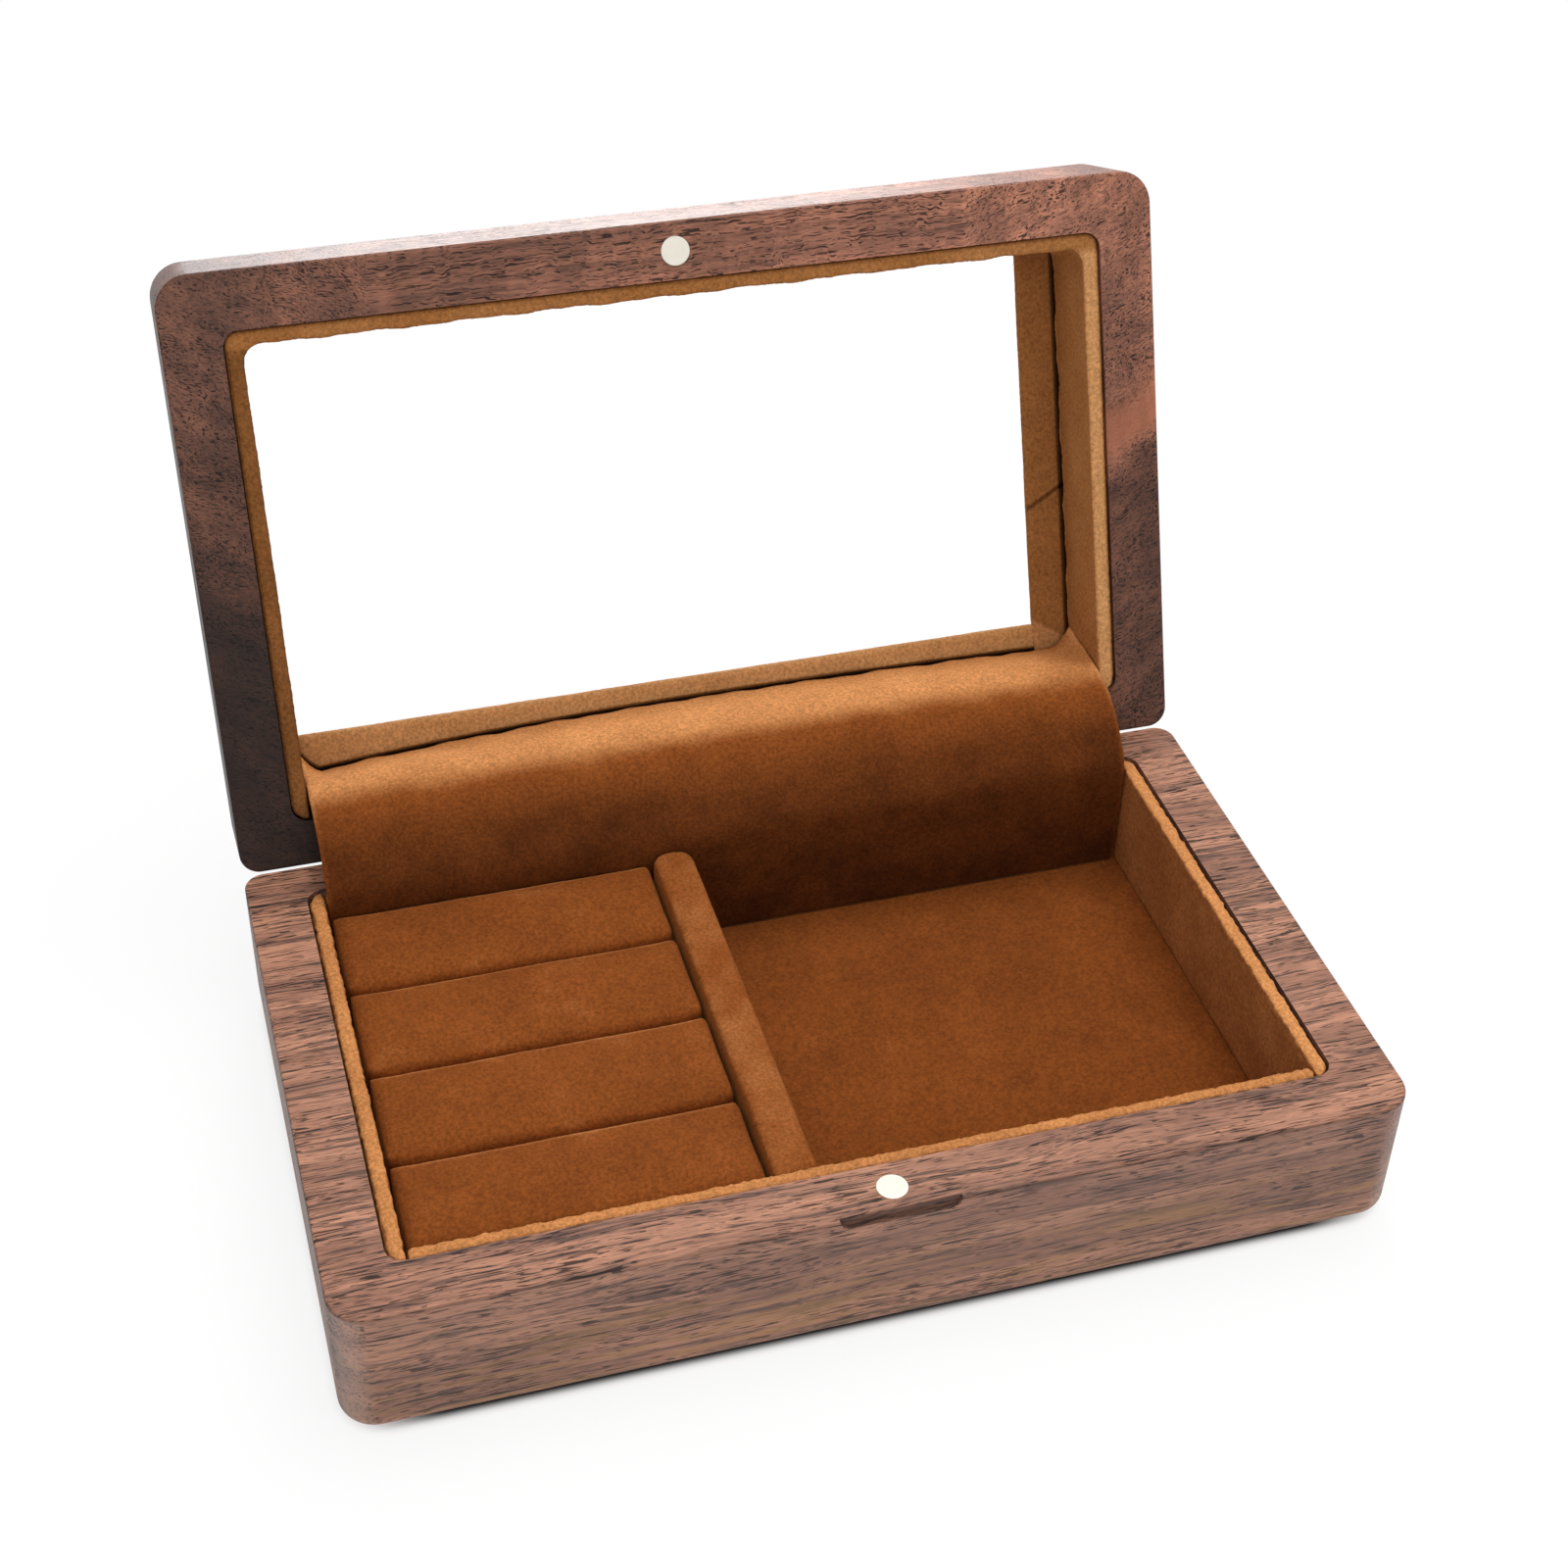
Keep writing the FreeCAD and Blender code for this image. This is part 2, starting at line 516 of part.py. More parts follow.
def make_lid_fittings():
    inner_left = f"({INSIDE_X} - bead_left_reach)"
    inner_right = f"({INSIDE_X} - bead_right_reach)"
    inner_front = f"({LID_FRONT_INSIDE} + bead_front_reach)"
    inner_back = f"(0 - {FLAP_ON_LID} - bead_back_reach)"
    lining_end = f"{LID_BEAD} - glue_gap"
    fitted_board("window_pane", LID_POCKET_FRONT, LID_POCKET_BACK, LID_PANE,
                 f"{LID_RIM} + lid_height - lip_thickness", on_lid=True)
    for name, side, inner_x in (("left", -1, inner_left), ("right", 1, inner_right)):
        bead = fitted_strip(f"window_bead_{name}", side, inner_x, LID_POCKET_FRONT, LID_POCKET_BACK,
                            LID_BEAD, LID_PANE, on_lid=True)
        soften(bead, inner_x, LID_BEAD, "bead_round")
        fitted_strip(f"lid_lining_{name}", side, INSIDE_X, LID_POCKET_FRONT, LID_POCKET_BACK,
                     LID_LINING_START, lining_end, on_lid=True)
    for name, low, high, free in (
            ("front", f"{LID_POCKET_FRONT} + glue_gap", inner_front, inner_front),
            ("back", inner_back, f"{LID_POCKET_BACK} - glue_gap", inner_back)):
        strip = board(f"window_bead_{name}", (f"glue_gap - {inner_left}", low, LID_BEAD),
                      (f"{inner_right} - glue_gap", high, LID_PANE), on_lid=True)
        edge_y = amount(free)
        face = level_at(amount(LID_BEAD))
        round_edges(strip, lambda edge: face(edge) and near(edge.BoundBox.YMin, edge_y)
                    and near(edge.BoundBox.YLength, 0), "bead_round")
    board("lid_lining_front",
          (f"glue_gap - {INSIDE_X}", f"{LID_POCKET_FRONT} + glue_gap", LID_LINING_START),
          (f"{INSIDE_X} - glue_gap", LID_FRONT_INSIDE, lining_end), on_lid=True)
    flap_meets_lid = flap_line()["depth"]
    board("lid_lining_back",
          (f"glue_gap - {INSIDE_X}", f"{LID_POCKET_BACK} - glue_gap - lid_back_lining",
           f"{flap_meets_lid} + glue_gap"),
          (f"{INSIDE_X} - glue_gap", f"{LID_POCKET_BACK} - glue_gap", lining_end), on_lid=True)


# Hinge flap: a covered strip up the back of the base, over the hinges and along the back of the lid.

def flap_line(depth_in=0.0):
    """Points of one face of the flap as (y, z), at a depth in from the face that shows."""
    lean = math.radians(amount("open_angle"))
    first = math.radians(amount("flap_first_turn"))
    first_radius = amount("flap_bend_radius + flap_thickness") - depth_in
    second_radius = amount("flap_curve_radius + flap_thickness") - depth_in
    face_y = amount(BASE_BACK_INSIDE) + depth_in
    bend_z = amount("base_height - flap_bend_drop")
    pin = (amount(HINGE_Y), amount(HINGE_Z))
    up_lid = (-math.cos(lean), math.sin(lean))
    into_lid = (math.sin(lean), math.cos(lean))

    def shifted(point, direction, distance):
        return point[0] + direction[0] * distance, point[1] + direction[1] * distance

    def turned(centre, radius, angle):
        return centre[0] - radius * math.cos(angle), centre[1] + radius * math.sin(angle)

    def height_on_lid(point):
        return (point[0] - pin[0]) * up_lid[0] + (point[1] - pin[1]) * up_lid[1]

    first_centre = (face_y + first_radius, bend_z)
    first_end = turned(first_centre, first_radius, first)
    slope = (math.sin(first), math.cos(first))
    inward = (math.cos(first), -math.sin(first))
    curve_from_end = shifted(first_end, inward, second_radius)
    curve_stop = turned(curve_from_end, second_radius, lean)
    missing = amount(FLAP_ON_LID) - depth_in - height_on_lid(curve_stop)
    straight = missing / math.sin(lean - first)
    second_start = shifted(first_end, slope, straight)
    second_centre = shifted(second_start, inward, second_radius)
    second_end = turned(second_centre, second_radius, lean)
    depth = (second_end[0] - pin[0]) * into_lid[0] + (second_end[1] - pin[1]) * into_lid[1]
    end = shifted(second_end, into_lid, amount(f"{LID_BEAD} - glue_gap") - depth)
    return {
        "foot": (face_y, amount(f"{BASE_FLOOR_TOP} + glue_gap")),
        "bend": [(face_y, bend_z), turned(first_centre, first_radius, first / 2), first_end],
        "curve": [second_start, turned(second_centre, second_radius, (first + lean) / 2), second_end],
        "end": end,
        "depth": depth,
    }


def make_hinge_flap():
    front = flap_line()
    back = flap_line(amount("flap_thickness"))

    def spot(place):
        return FreeCAD.Vector(0, *place)

    def line(start, end):
        return Part.LineSegment(spot(start), spot(end)).toShape()

    def arc(places):
        return Part.Arc(*[spot(place) for place in places]).toShape()

    edges = []
    for face in (front, back):
        edges += [line(face["foot"], face["bend"][0]), arc(face["bend"]),
                  line(face["bend"][-1], face["curve"][0]), arc(face["curve"]),
                  line(face["curve"][-1], face["end"])]
    edges += [line(front["foot"], back["foot"]), line(front["end"], back["end"])]
    outline = Part.Wire(Part.__sortEdges__(edges))
    half = amount(f"{INSIDE_X} - flap_side_gap")
    flap = keep(doc.addObject("Part::Feature", "hinge_flap"), "hinge_flap")
    flap.Shape = Part.Face(outline).extrude(X_AXIS * 2 * half)
    flap.Placement.Base = X_AXIS * -half


# Hinges: brass leaves with interlocking knuckles on a pin, held by countersunk screws.

def block(low, high):
    """A box between two corners, in the frame of a hinge."""
    box = doc.addObject("Part::Box", "block")
    for place, side, start, end in zip("xyz", ("Length", "Width", "Height"), low, high):
        bind(box, f"Placement.Base.{place}", start)
        bind(box, side, f"({end}) - ({start})")
    return box


def rod(start, end, radius):
    """A round bar along the pin."""
    bar = doc.addObject("Part::Cylinder", "rod")
    bar.Placement.Rotation = FreeCAD.Rotation(Y_AXIS, 90)
    bind(bar, "Placement.Base.x", start)
    bind(bar, "Height", f"({end}) - ({start})")
    bind(bar, "Radius", radius)
    return bar


def joined(pieces):
    whole = doc.addObject("Part::MultiFuse", "joined")
    whole.Shapes = pieces
    return whole


def screw(along, on_lid, clearance="0"):
    """A countersunk screw, or with a clearance the hole for one, in the frame of a hinge."""
    head = doc.addObject("Part::Cone", "head")
    bind(head, "Radius1", f"screw_radius + {clearance}")
    bind(head, "Radius2", f"screw_head_radius + {clearance}")
    bind(head, "Height", "leaf_thickness")
    bind(head, "Placement.Base.z", "0 - leaf_thickness")
    shank = doc.addObject("Part::Cylinder", "shank")
    bind(shank, "Radius", f"screw_radius + {clearance}")
    bind(shank, "Height", "leaf_thickness + screw_length")
    bind(shank, "Placement.Base.z", "0 - leaf_thickness - screw_length")
    whole = joined([head, shank])
    if on_lid:
        whole.Placement.Rotation = FreeCAD.Rotation(X_AXIS, 180)
    bind(whole, "Placement.Base.x", along)
    bind(whole, "Placement.Base.y", "0 - screw_inset")
    bind(whole, "Placement.Base.z", "rim_gap/2" if on_lid else "0 - rim_gap/2")
    return whole


def hinge_leaf(label, along, on_lid):
    """A plate with its knuckles: the lid's leaf has the middle one, the base's leaf the outer two."""
    middle = "(hinge_length/knuckle_count/2 - knuckle_gap/2)"
    outer = "(hinge_length/knuckle_count/2 + knuckle_gap/2)"
    end = "hinge_length/2"
    spans = [(f"0 - {middle}", middle)] if on_lid else [(f"0 - {end}", f"0 - {outer}"), (outer, end)]
    low, high = ("rim_gap/2", "rim_gap/2 + leaf_thickness")
    if not on_lid:
        low, high = (f"0 - ({high})", f"0 - ({low})")
    near_edge = "0 - knuckle_radius - knuckle_clearance"
    solid = [block((f"0 - {end}", "0 - leaf_width", low), (end, near_edge, high))]
    for start, stop in spans:
        solid.append(block((start, near_edge, low), (stop, "0", high)))
        solid.append(rod(start, stop, "knuckle_radius"))
    holes = [rod(f"0 - {end} - cut_overrun", f"{end} + cut_overrun", "pin_radius + pin_clearance")]
    for side in ("0 - ", ""):
        holes.append(screw(f"{side}screw_spacing/2", on_lid, "screw_clearance"))
    leaf = keep(doc.addObject("Part::Cut", label), label)
    leaf.Base = joined(solid)
    leaf.Tool = joined(holes)
    if on_lid:
        hang_on_lid(leaf, along)
    else:
        place_on_pin(leaf, along)


def make_hinges():
    for name, along in (("left", f"0 - {HINGE_X}"), ("right", HINGE_X)):
        hinge_leaf(f"hinge_base_leaf_{name}", along, False)
        hinge_leaf(f"hinge_lid_leaf_{name}", along, True)
        pin = rod(f"{along} - hinge_length/2", f"{along} + hinge_length/2", "pin_radius")
        keep(pin, f"hinge_pin_{name}")
        bind(pin, "Placement.Base.y", HINGE_Y)
        bind(pin, "Placement.Base.z", HINGE_Z)
    for label, on_lid in (("hinge_base_screws", False), ("hinge_lid_screws", True)):
        group = keep(doc.addObject("Part::Compound", label), label)
        places = [f"{hinge}{HINGE_X} {side} screw_spacing/2" for hinge in ("0 - ", "") for side in "-+"]
        group.Links = [screw(place, on_lid) for place in places]
        if on_lid:
            hang_on_lid(group)
        else:
            place_on_pin(group)


make_base_block()
make_lid_frame()
make_magnets()
make_base_linings()
make_divider()
make_ring_rolls()
make_lid_fittings()
make_hinge_flap()
make_hinges()
doc.recompute()

for thing in doc.Objects:
    if "Invalid" in thing.State or "Error" in thing.State:
        raise RuntimeError(f"{thing.Label} did not build: {thing.State}")
for piece in subparts:
    if piece.Shape.isNull() or not piece.Shape.isValid():
        raise RuntimeError(f"{piece.Label} has no valid shape")

os.makedirs("parts", exist_ok=True)
for piece in subparts:
    piece.Shape.exportStep(f"parts/{piece.Label}.step")
    print(f"{piece.Label}: {len(piece.Shape.Solids)} solid(s), {piece.Shape.Volume:.1f} cubic millimetres")
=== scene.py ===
# %% [markdown]
# # A walnut jewellery box, dressed for its portrait
# The box is already built as a set of exact solids that open and shut. This lesson keeps the hard pieces
# (walnut, glass, brass, magnets) as they are and gives them finishes, and models every velvet piece anew,
# because cloth over card and foam has soft edges that an exact solid can't have.

# %% The frame
import json
import math

import bmesh
import bpy
from mathutils import Matrix, Vector


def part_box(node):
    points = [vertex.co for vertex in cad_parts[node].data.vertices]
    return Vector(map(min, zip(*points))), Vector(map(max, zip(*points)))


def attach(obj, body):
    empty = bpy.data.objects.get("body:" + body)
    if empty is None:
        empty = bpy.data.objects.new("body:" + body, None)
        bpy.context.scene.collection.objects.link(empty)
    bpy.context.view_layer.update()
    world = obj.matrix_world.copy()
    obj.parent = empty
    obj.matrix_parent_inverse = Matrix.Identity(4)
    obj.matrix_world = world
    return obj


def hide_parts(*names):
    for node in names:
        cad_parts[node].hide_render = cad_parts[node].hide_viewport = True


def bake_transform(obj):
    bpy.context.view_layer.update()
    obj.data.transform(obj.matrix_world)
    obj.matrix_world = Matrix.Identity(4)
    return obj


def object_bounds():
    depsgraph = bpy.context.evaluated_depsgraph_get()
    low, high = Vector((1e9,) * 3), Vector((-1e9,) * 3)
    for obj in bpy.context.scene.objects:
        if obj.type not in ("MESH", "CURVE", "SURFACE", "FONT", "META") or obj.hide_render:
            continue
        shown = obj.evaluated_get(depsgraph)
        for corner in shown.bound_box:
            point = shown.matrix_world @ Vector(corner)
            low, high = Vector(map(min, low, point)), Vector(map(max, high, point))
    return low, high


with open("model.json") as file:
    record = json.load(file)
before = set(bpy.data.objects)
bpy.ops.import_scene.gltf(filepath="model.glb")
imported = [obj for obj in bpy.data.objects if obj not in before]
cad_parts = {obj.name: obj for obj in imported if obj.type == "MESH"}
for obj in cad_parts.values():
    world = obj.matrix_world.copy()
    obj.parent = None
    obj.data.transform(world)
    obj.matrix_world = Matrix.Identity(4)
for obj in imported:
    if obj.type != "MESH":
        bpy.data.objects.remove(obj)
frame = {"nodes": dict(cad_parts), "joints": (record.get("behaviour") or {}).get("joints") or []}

MM = 0.001
cad_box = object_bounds()
cad_size = [round(size / MM, 1) for size in cad_box[1] - cad_box[0]]
print("solids loaded:", len(frame["nodes"]), "box in mm:", cad_size)

# %% [markdown]
# ## The camera
# The portrait was taken from the front left, a little under half a metre away, looking down at the open box.
# A camera is placed by a matrix: its columns are the directions right, up and backwards, then its place.
# Taking them from the perspective of the box's own edges gives the same view, with the slight roll it has.

# %% Camera
CAMERA_PLACE = Vector((-0.0979, -0.3000, 0.3209))
CAMERA_FORWARD = Vector((0.23168, 0.74649, -0.62377)).normalized()
CAMERA_RIGHT = Vector((0.95995, -0.27929, 0.02230))
CAMERA_LENS = 58.85
SENSOR_WIDTH = 36

picture_right = (CAMERA_RIGHT - CAMERA_RIGHT.dot(CAMERA_FORWARD) * CAMERA_FORWARD).normalized()
picture_up = picture_right.cross(CAMERA_FORWARD)
bpy.ops.object.camera_add()
camera = bpy.context.object
camera.name = "portrait_camera"
camera.data.lens = CAMERA_LENS
camera.data.sensor_width = SENSOR_WIDTH
camera.matrix_world = Matrix((picture_right, picture_up, -CAMERA_FORWARD)).transposed().to_4x4()
camera.location = CAMERA_PLACE
bpy.context.scene.camera = camera
print("camera", [round(place / MM) for place in camera.location], "mm, lens", camera.data.lens, "mm")

# %% [markdown]
# ## Wires
# A finish is a small program of nodes, and adding each node by hand takes many lines. A Wire stands for one
# output socket, and arithmetic on wires adds the Math nodes, so that a finish reads like a formula.

# %% Wires
class Wire:
    """One output of a node. Arithmetic on it adds Math nodes to the finish it belongs to."""

    def __init__(self, finish, socket):
        self.finish = finish
        self.socket = socket

    def math(self, operation, first, second=0.0):
        return self.finish.node("ShaderNodeMath", {"operation": operation}, {0: first, 1: second})

    def __add__(self, other):
        return self.math("ADD", self, other)

    def __sub__(self, other):
        return self.math("SUBTRACT", self, other)

    def __rsub__(self, other):
        return self.math("SUBTRACT", other, self)

    def __mul__(self, other):
        return self.math("MULTIPLY", self, other)

    def __abs__(self):
        return self.math("ABSOLUTE", self)

    __radd__ = __add__
    __rmul__ = __mul__

    def at_least(self, low):
        """The number itself, but never under low."""
        return self.math("MAXIMUM", self, low)

    def between(self, low, high):
        """0 at low, 1 at high and a smooth step between them."""
        return self.finish.node("ShaderNodeMapRange", {"interpolation_type": "SMOOTHSTEP"},
                                {"Value": self, "From Min": low, "From Max": high})


print("a wire knows:", [name for name in vars(Wire) if not name.startswith("_")])

# %% [markdown]
# ## Finishes
# A Finish is one tree of nodes. Its node method adds any node from its type, settings and sockets, and the
# others are short names for what every finish here needs: a place on the piece, a mix and cloudy noise.

# %% Finishes
class Finish:
    """A tree of nodes that is being written, of a material or of the world."""

    def __init__(self, owner, output="ShaderNodeOutputMaterial"):
        self.owner = owner
        self.output = output
        owner.use_nodes = True
        self.tree = owner.node_tree
        self.tree.nodes.clear()

    def node(self, kind, settings=None, sockets=None, output=0):
        made = self.tree.nodes.new(kind)
        for key, value in (settings or {}).items():
            setattr(made, key, value)
        for key, value in (sockets or {}).items():
            if isinstance(value, Wire):
                self.tree.links.new(value.socket, made.inputs[key])
            else:
                made.inputs[key].default_value = value
        return Wire(self, made.outputs[output]) if made.outputs else made

    def end_with(self, shader):
        self.node(self.output, {}, {"Surface": shader})

    def place(self, turn=0.0):
        """Object coordinates, turned about x to lay a tilted piece flat."""
        here = self.node("ShaderNodeTexCoord", {}, {}, "Object")
        return self.node("ShaderNodeMapping", {}, {"Vector": here, "Rotation": (turn, 0, 0)})

    def axis(self, place, letter):
        return self.node("ShaderNodeSeparateXYZ", {}, {"Vector": place}, letter)

    def mix(self, share, first, second):
        """Goes from the first colour to the second as share goes from 0 to 1."""
        return self.node("ShaderNodeMix", {"data_type": "RGBA"}, {0: share, 6: first, 7: second}, 2)

    def scaled(self, colour, factor):
        """A colour times a number."""
        return self.node("ShaderNodeVectorMath", {"operation": "SCALE"}, {"Vector": colour, "Scale": factor})

    def noise(self, place, size, detail=2.0, roughness=0.5, distortion=0.0):
        """Cloudy numbers round 0.5 whose blobs are about size long in x, y and z."""
        stretch = [1 / length for length in size]
        stretched = self.node("ShaderNodeMapping", {}, {"Vector": place, "Scale": stretch})
        return self.node("ShaderNodeTexNoise", {}, {"Vector": stretched, "Scale": 1.0, "Detail": detail,
                                                    "Roughness": roughness, "Distortion": distortion})

    def seen(self):
        """1 for rays from the camera, straight, mirrored or through glass, and 0 for light on its way."""
        rays = [self.node("ShaderNodeLightPath", {}, {}, f"Is {kind} Ray")
                for kind in ("Camera", "Glossy", "Transmission")]
        return (rays[0] + rays[1] + rays[2]).between(0, 1)


def new_finish(name):
    return Finish(bpy.data.materials.new(name))


print("a finish knows:", [name for name in vars(Finish) if not name.startswith("_")])

# %% [markdown]
# ## Colours
# Picture programs write a colour as three numbers from 0 to 255, on a scale that suits the eye. Shaders count
# light instead, so every colour below goes through this conversion once.

# %% Colours
def paint(red, green, blue):
    """A colour as picture programs write it, 0 to 255, in the linear light that shaders use."""
    def linear(value):
        value = value / 255
        return value / 12.92 if value <= 0.04045 else ((value + 0.055) / 1.055) ** 2.4
    return linear(red), linear(green), linear(blue), 1.0


WHITE = (1, 1, 1, 1)
print("a mid brown in linear light:", [round(value, 3) for value in paint(139, 106, 90)])

# %% [markdown]
# ## The studio floor
# The portrait has a pure white surround with only a thin contact shadow. Lighting a floor until it is white
# would bleach the box too, so the floor is white only to the camera and to reflections. How much of the
# shading shows on it grows towards the foot of the box, which keeps the shadow dark there and the rest of
# the paper white. The distance from the foot is that from a rectangle with round corners. In front, where
# the light can't follow the eye under the rounded foot, the line of contact is painted dark.

# %% Studio floor
FLOOR_SIZE = 6.0
FOOT_CORNER = 8 * MM
FRONT_FADE = (8 * MM, 3 * MM)
FRONT_CORNER = 16 * MM
SIDE_SHADE_SHARE = 0.45
FAR_SHADE_SHARE = 0.16
FAR_REACH = (0.35, 0.05)
SHADE_REACH = 1.5 * MM
CONTACT_REACH = (0.7 * MM, -1.4 * MM)
PAPER_COLOUR = (0.98, 0.98, 0.98, 1)
CONTACT_COLOUR = (0.04, 0.04, 0.04, 1)

floor_finish = new_finish("studio_white")
spot = floor_finish.place()
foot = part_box("base_block")[1]
along = floor_finish.axis(spot, "X")
depth = floor_finish.axis(spot, "Y")
past = [(abs(along) - (foot.x - FOOT_CORNER)).at_least(0), (abs(depth) - (foot.y - FOOT_CORNER)).at_least(0)]
past_corner = floor_finish.node("ShaderNodeCombineXYZ", {}, {"X": past[0], "Y": past[1]})
distance = floor_finish.node("ShaderNodeVectorMath", {"operation": "LENGTH"}, {0: past_corner}, "Value")
distance = distance - FOOT_CORNER
in_front = depth.between(FRONT_FADE[0] - foot.y, FRONT_FADE[1] - foot.y)
in_front = in_front * abs(along).between(foot.x, foot.x - FRONT_CORNER)
near_share = SIDE_SHADE_SHARE + (1 - SIDE_SHADE_SHARE) * in_front
far_share = FAR_SHADE_SHARE * distance.between(*FAR_REACH)
shade_share = far_share + (near_share - far_share) * distance.between(SHADE_REACH, -SHADE_REACH)
contact = floor_finish.mix(distance.between(*CONTACT_REACH) * in_front, PAPER_COLOUR, CONTACT_COLOUR)
paper = floor_finish.node("ShaderNodeBsdfDiffuse", {}, {"Color": contact})
glow = floor_finish.node("ShaderNodeEmission", {}, {"Color": WHITE, "Strength": 1.0})
floor_finish.end_with(floor_finish.node("ShaderNodeMixShader", {}, {
    0: floor_finish.seen() * (1 - shade_share), 1: paper, 2: glow}))

bpy.ops.object.select_all(action="DESELECT")
bpy.ops.mesh.primitive_plane_add(size=FLOOR_SIZE)
floor = bpy.context.object
floor.name = "studio_floor"
floor.data.materials.append(floor_finish.owner)
print("floor", FLOOR_SIZE, "m wide")

# %% [markdown]
# ## The studio world
# The air round the box follows the same idea: white to the camera, in mirrors and through the glass, and only
# half as bright as a light on the box, so that a colour renders about as it is written.

# %% Studio world
AMBIENT_LEVEL = 0.50

bpy.context.scene.world = bpy.data.worlds.new("studio_world")
sky = Finish(bpy.context.scene.world, "ShaderNodeOutputWorld")
sky_level = AMBIENT_LEVEL + sky.seen() * (1 - AMBIENT_LEVEL)
sky.end_with(sky.node("ShaderNodeBackground", {}, {"Color": WHITE, "Strength": sky_level}))
bpy.context.scene.view_settings.view_transform = "Standard"
print("world ready, ambient level", AMBIENT_LEVEL)

# %% [markdown]
# ## The lamps
# Two large soft boxes do the modelling: one above and behind, a weaker one in front. A smaller one stands low
# behind the lid, where its outer edge mirrors it, and draws the pale line along that edge.
# A large lamp close by has soft shadows, like the window light of a product photograph.

# %% Lamps
def soft_box(name, place, aim, size, watts):
    """A square area lamp that looks at a point."""
    bpy.ops.object.light_add(type="AREA", location=place)
    lamp = bpy.context.object
    lamp.name = name
    lamp.data.size = size
    lamp.data.energy = watts
    lamp.rotation_euler = (Vector(aim) - Vector(place)).to_track_quat("-Z", "Y").to_euler()


BOX_MIDDLE = (0, 0.02, 0.03)
LID_EDGE = (0, 0.09, 0.12)
soft_box("top_light", (0.20, 0.15, 0.95), BOX_MIDDLE, 0.8, 6.0)
soft_box("front_fill", (-0.15, -0.95, 0.7), BOX_MIDDLE, 0.7, 3.3)
soft_box("edge_light", (0.12, 0.95, 0.20), LID_EDGE, 0.36, 3.5)
print("three soft boxes lit")

# %% [markdown]
# ## Walnut
# Each half of the box is milled from one block of walnut, so the grain runs along the box through every face.
# All of it is cloudy noise that is stretched along the grain: broad bands, thin dark streaks, fine fibres and
# open pores, which are short dark dashes that come in crowds. A slow sway bends all of it together. A quick
# ripple can curl it, and it can slant towards the ends. The end faces, where the grain is cut across,
# show the growth rings of the tree instead. Noise in three dimensions carries on round every edge, as the
# figure of a solid block does and a picture wrapped round it would not.

# %% Walnut
# Blobs of each feature along the grain, across it and through it, in metres.
SWAY_SIZE = (0.045, 0.012, 0.012)
RIPPLE_SIZE = (0.0030, 0.0080, 0.0080)
BAND_SIZE = (0.080, 0.0050, 0.0050)
STREAK_SIZE = (0.028, 0.0009, 0.0009)
FIBRE_SIZE = (0.005, 0.00028, 0.00028)
CROWD_SIZE = (0.025, 0.0050, 0.0050)
LONG_PORE_SIZE = (0.0060, 0.00030, 0.00030)
SHORT_PORE_SIZE = (0.0024, 0.00023, 0.00023)
GROWTH_SIZE = (0.080, 0.030, 0.0015)
SWAY = 0.005
SLANT_START = 0.052
CROWDING = 0.25
END_FACE = (0.6, 0.95)
PORE_DARK = 0.85


def bent_grain(wood, flat, curl, slope):
    """Coordinates along the grain: it sways, ripples as far as curl says and slants towards both ends."""
    sway = (wood.noise(flat, SWAY_SIZE, 2.0) - 0.5) * SWAY
    ripple = (wood.noise(flat, RIPPLE_SIZE, 1.0) - 0.5) * curl
    slant = (abs(wood.axis(flat, "X")) - SLANT_START).at_least(0) * slope
    bend = sway + ripple + slant
    shift = wood.node("ShaderNodeCombineXYZ", {}, {"Y": bend, "Z": bend})
    return wood.node("ShaderNodeVectorMath", {"operation": "ADD"}, {0: flat, 1: shift})


def walnut(name, turn, curl, slope, streaks, pale, mid, deep, shade):
    """Solid walnut with its grain along x. streaks is how dark the streaks are, and shade is a function
    that changes the colour over parts of the plank."""
    wood = new_finish(name)
    flat = wood.place(turn)
    grain = bent_grain(wood, flat, curl, slope)
    band = wood.noise(grain, BAND_SIZE, 2.0).between(0.38, 0.62)
    streak = wood.noise(grain, STREAK_SIZE, 2.0, 0.6).between(0.48, 0.68)
    fibre = wood.noise(grain, FIBRE_SIZE, 2.0, 0.6)
    crowd = (wood.noise(grain, CROWD_SIZE, 1.0) - 0.5) * CROWDING
    long_pore = (wood.noise(grain, LONG_PORE_SIZE, 0.0) + crowd).between(0.65, 0.70)
    short_pore = (wood.noise(grain, SHORT_PORE_SIZE, 0.0) + crowd).between(0.66, 0.71)
    pores = long_pore + short_pore * 0.8
    growth = wood.noise(grain, GROWTH_SIZE, 2.0, 0.6).between(0.35, 0.65)
    facing = wood.node("ShaderNodeTexCoord", {}, {}, "Normal")
    end = abs(wood.axis(facing, "X")).between(*END_FACE)

    tone = wood.mix(streak * streaks, wood.mix(band, mid, pale), deep)
    tone = wood.mix(end, tone, wood.mix(growth, mid, deep))
    tone = wood.scaled(tone, 0.72 + fibre.between(0.25, 0.75) * 0.56)
    tone = wood.scaled(tone, 1.0 - pores.between(0.0, 1.0) * PORE_DARK)
    tone = shade(wood, flat, tone)
    height = fibre * 0.3 - pores
    relief = wood.node("ShaderNodeBump", {}, {"Strength": 0.25, "Distance": 0.0001, "Height": height})
    wood.end_with(wood.node("ShaderNodeBsdfPrincipled", {}, {
        "Base Color": tone, "Roughness": 0.45 + pores * 0.15, "Normal": relief, "Specular IOR Level": 0.22}))
    return wood.owner


print("walnut has pores", SHORT_PORE_SIZE[0] / MM, "to", LONG_PORE_SIZE[0] / MM, "mm long")

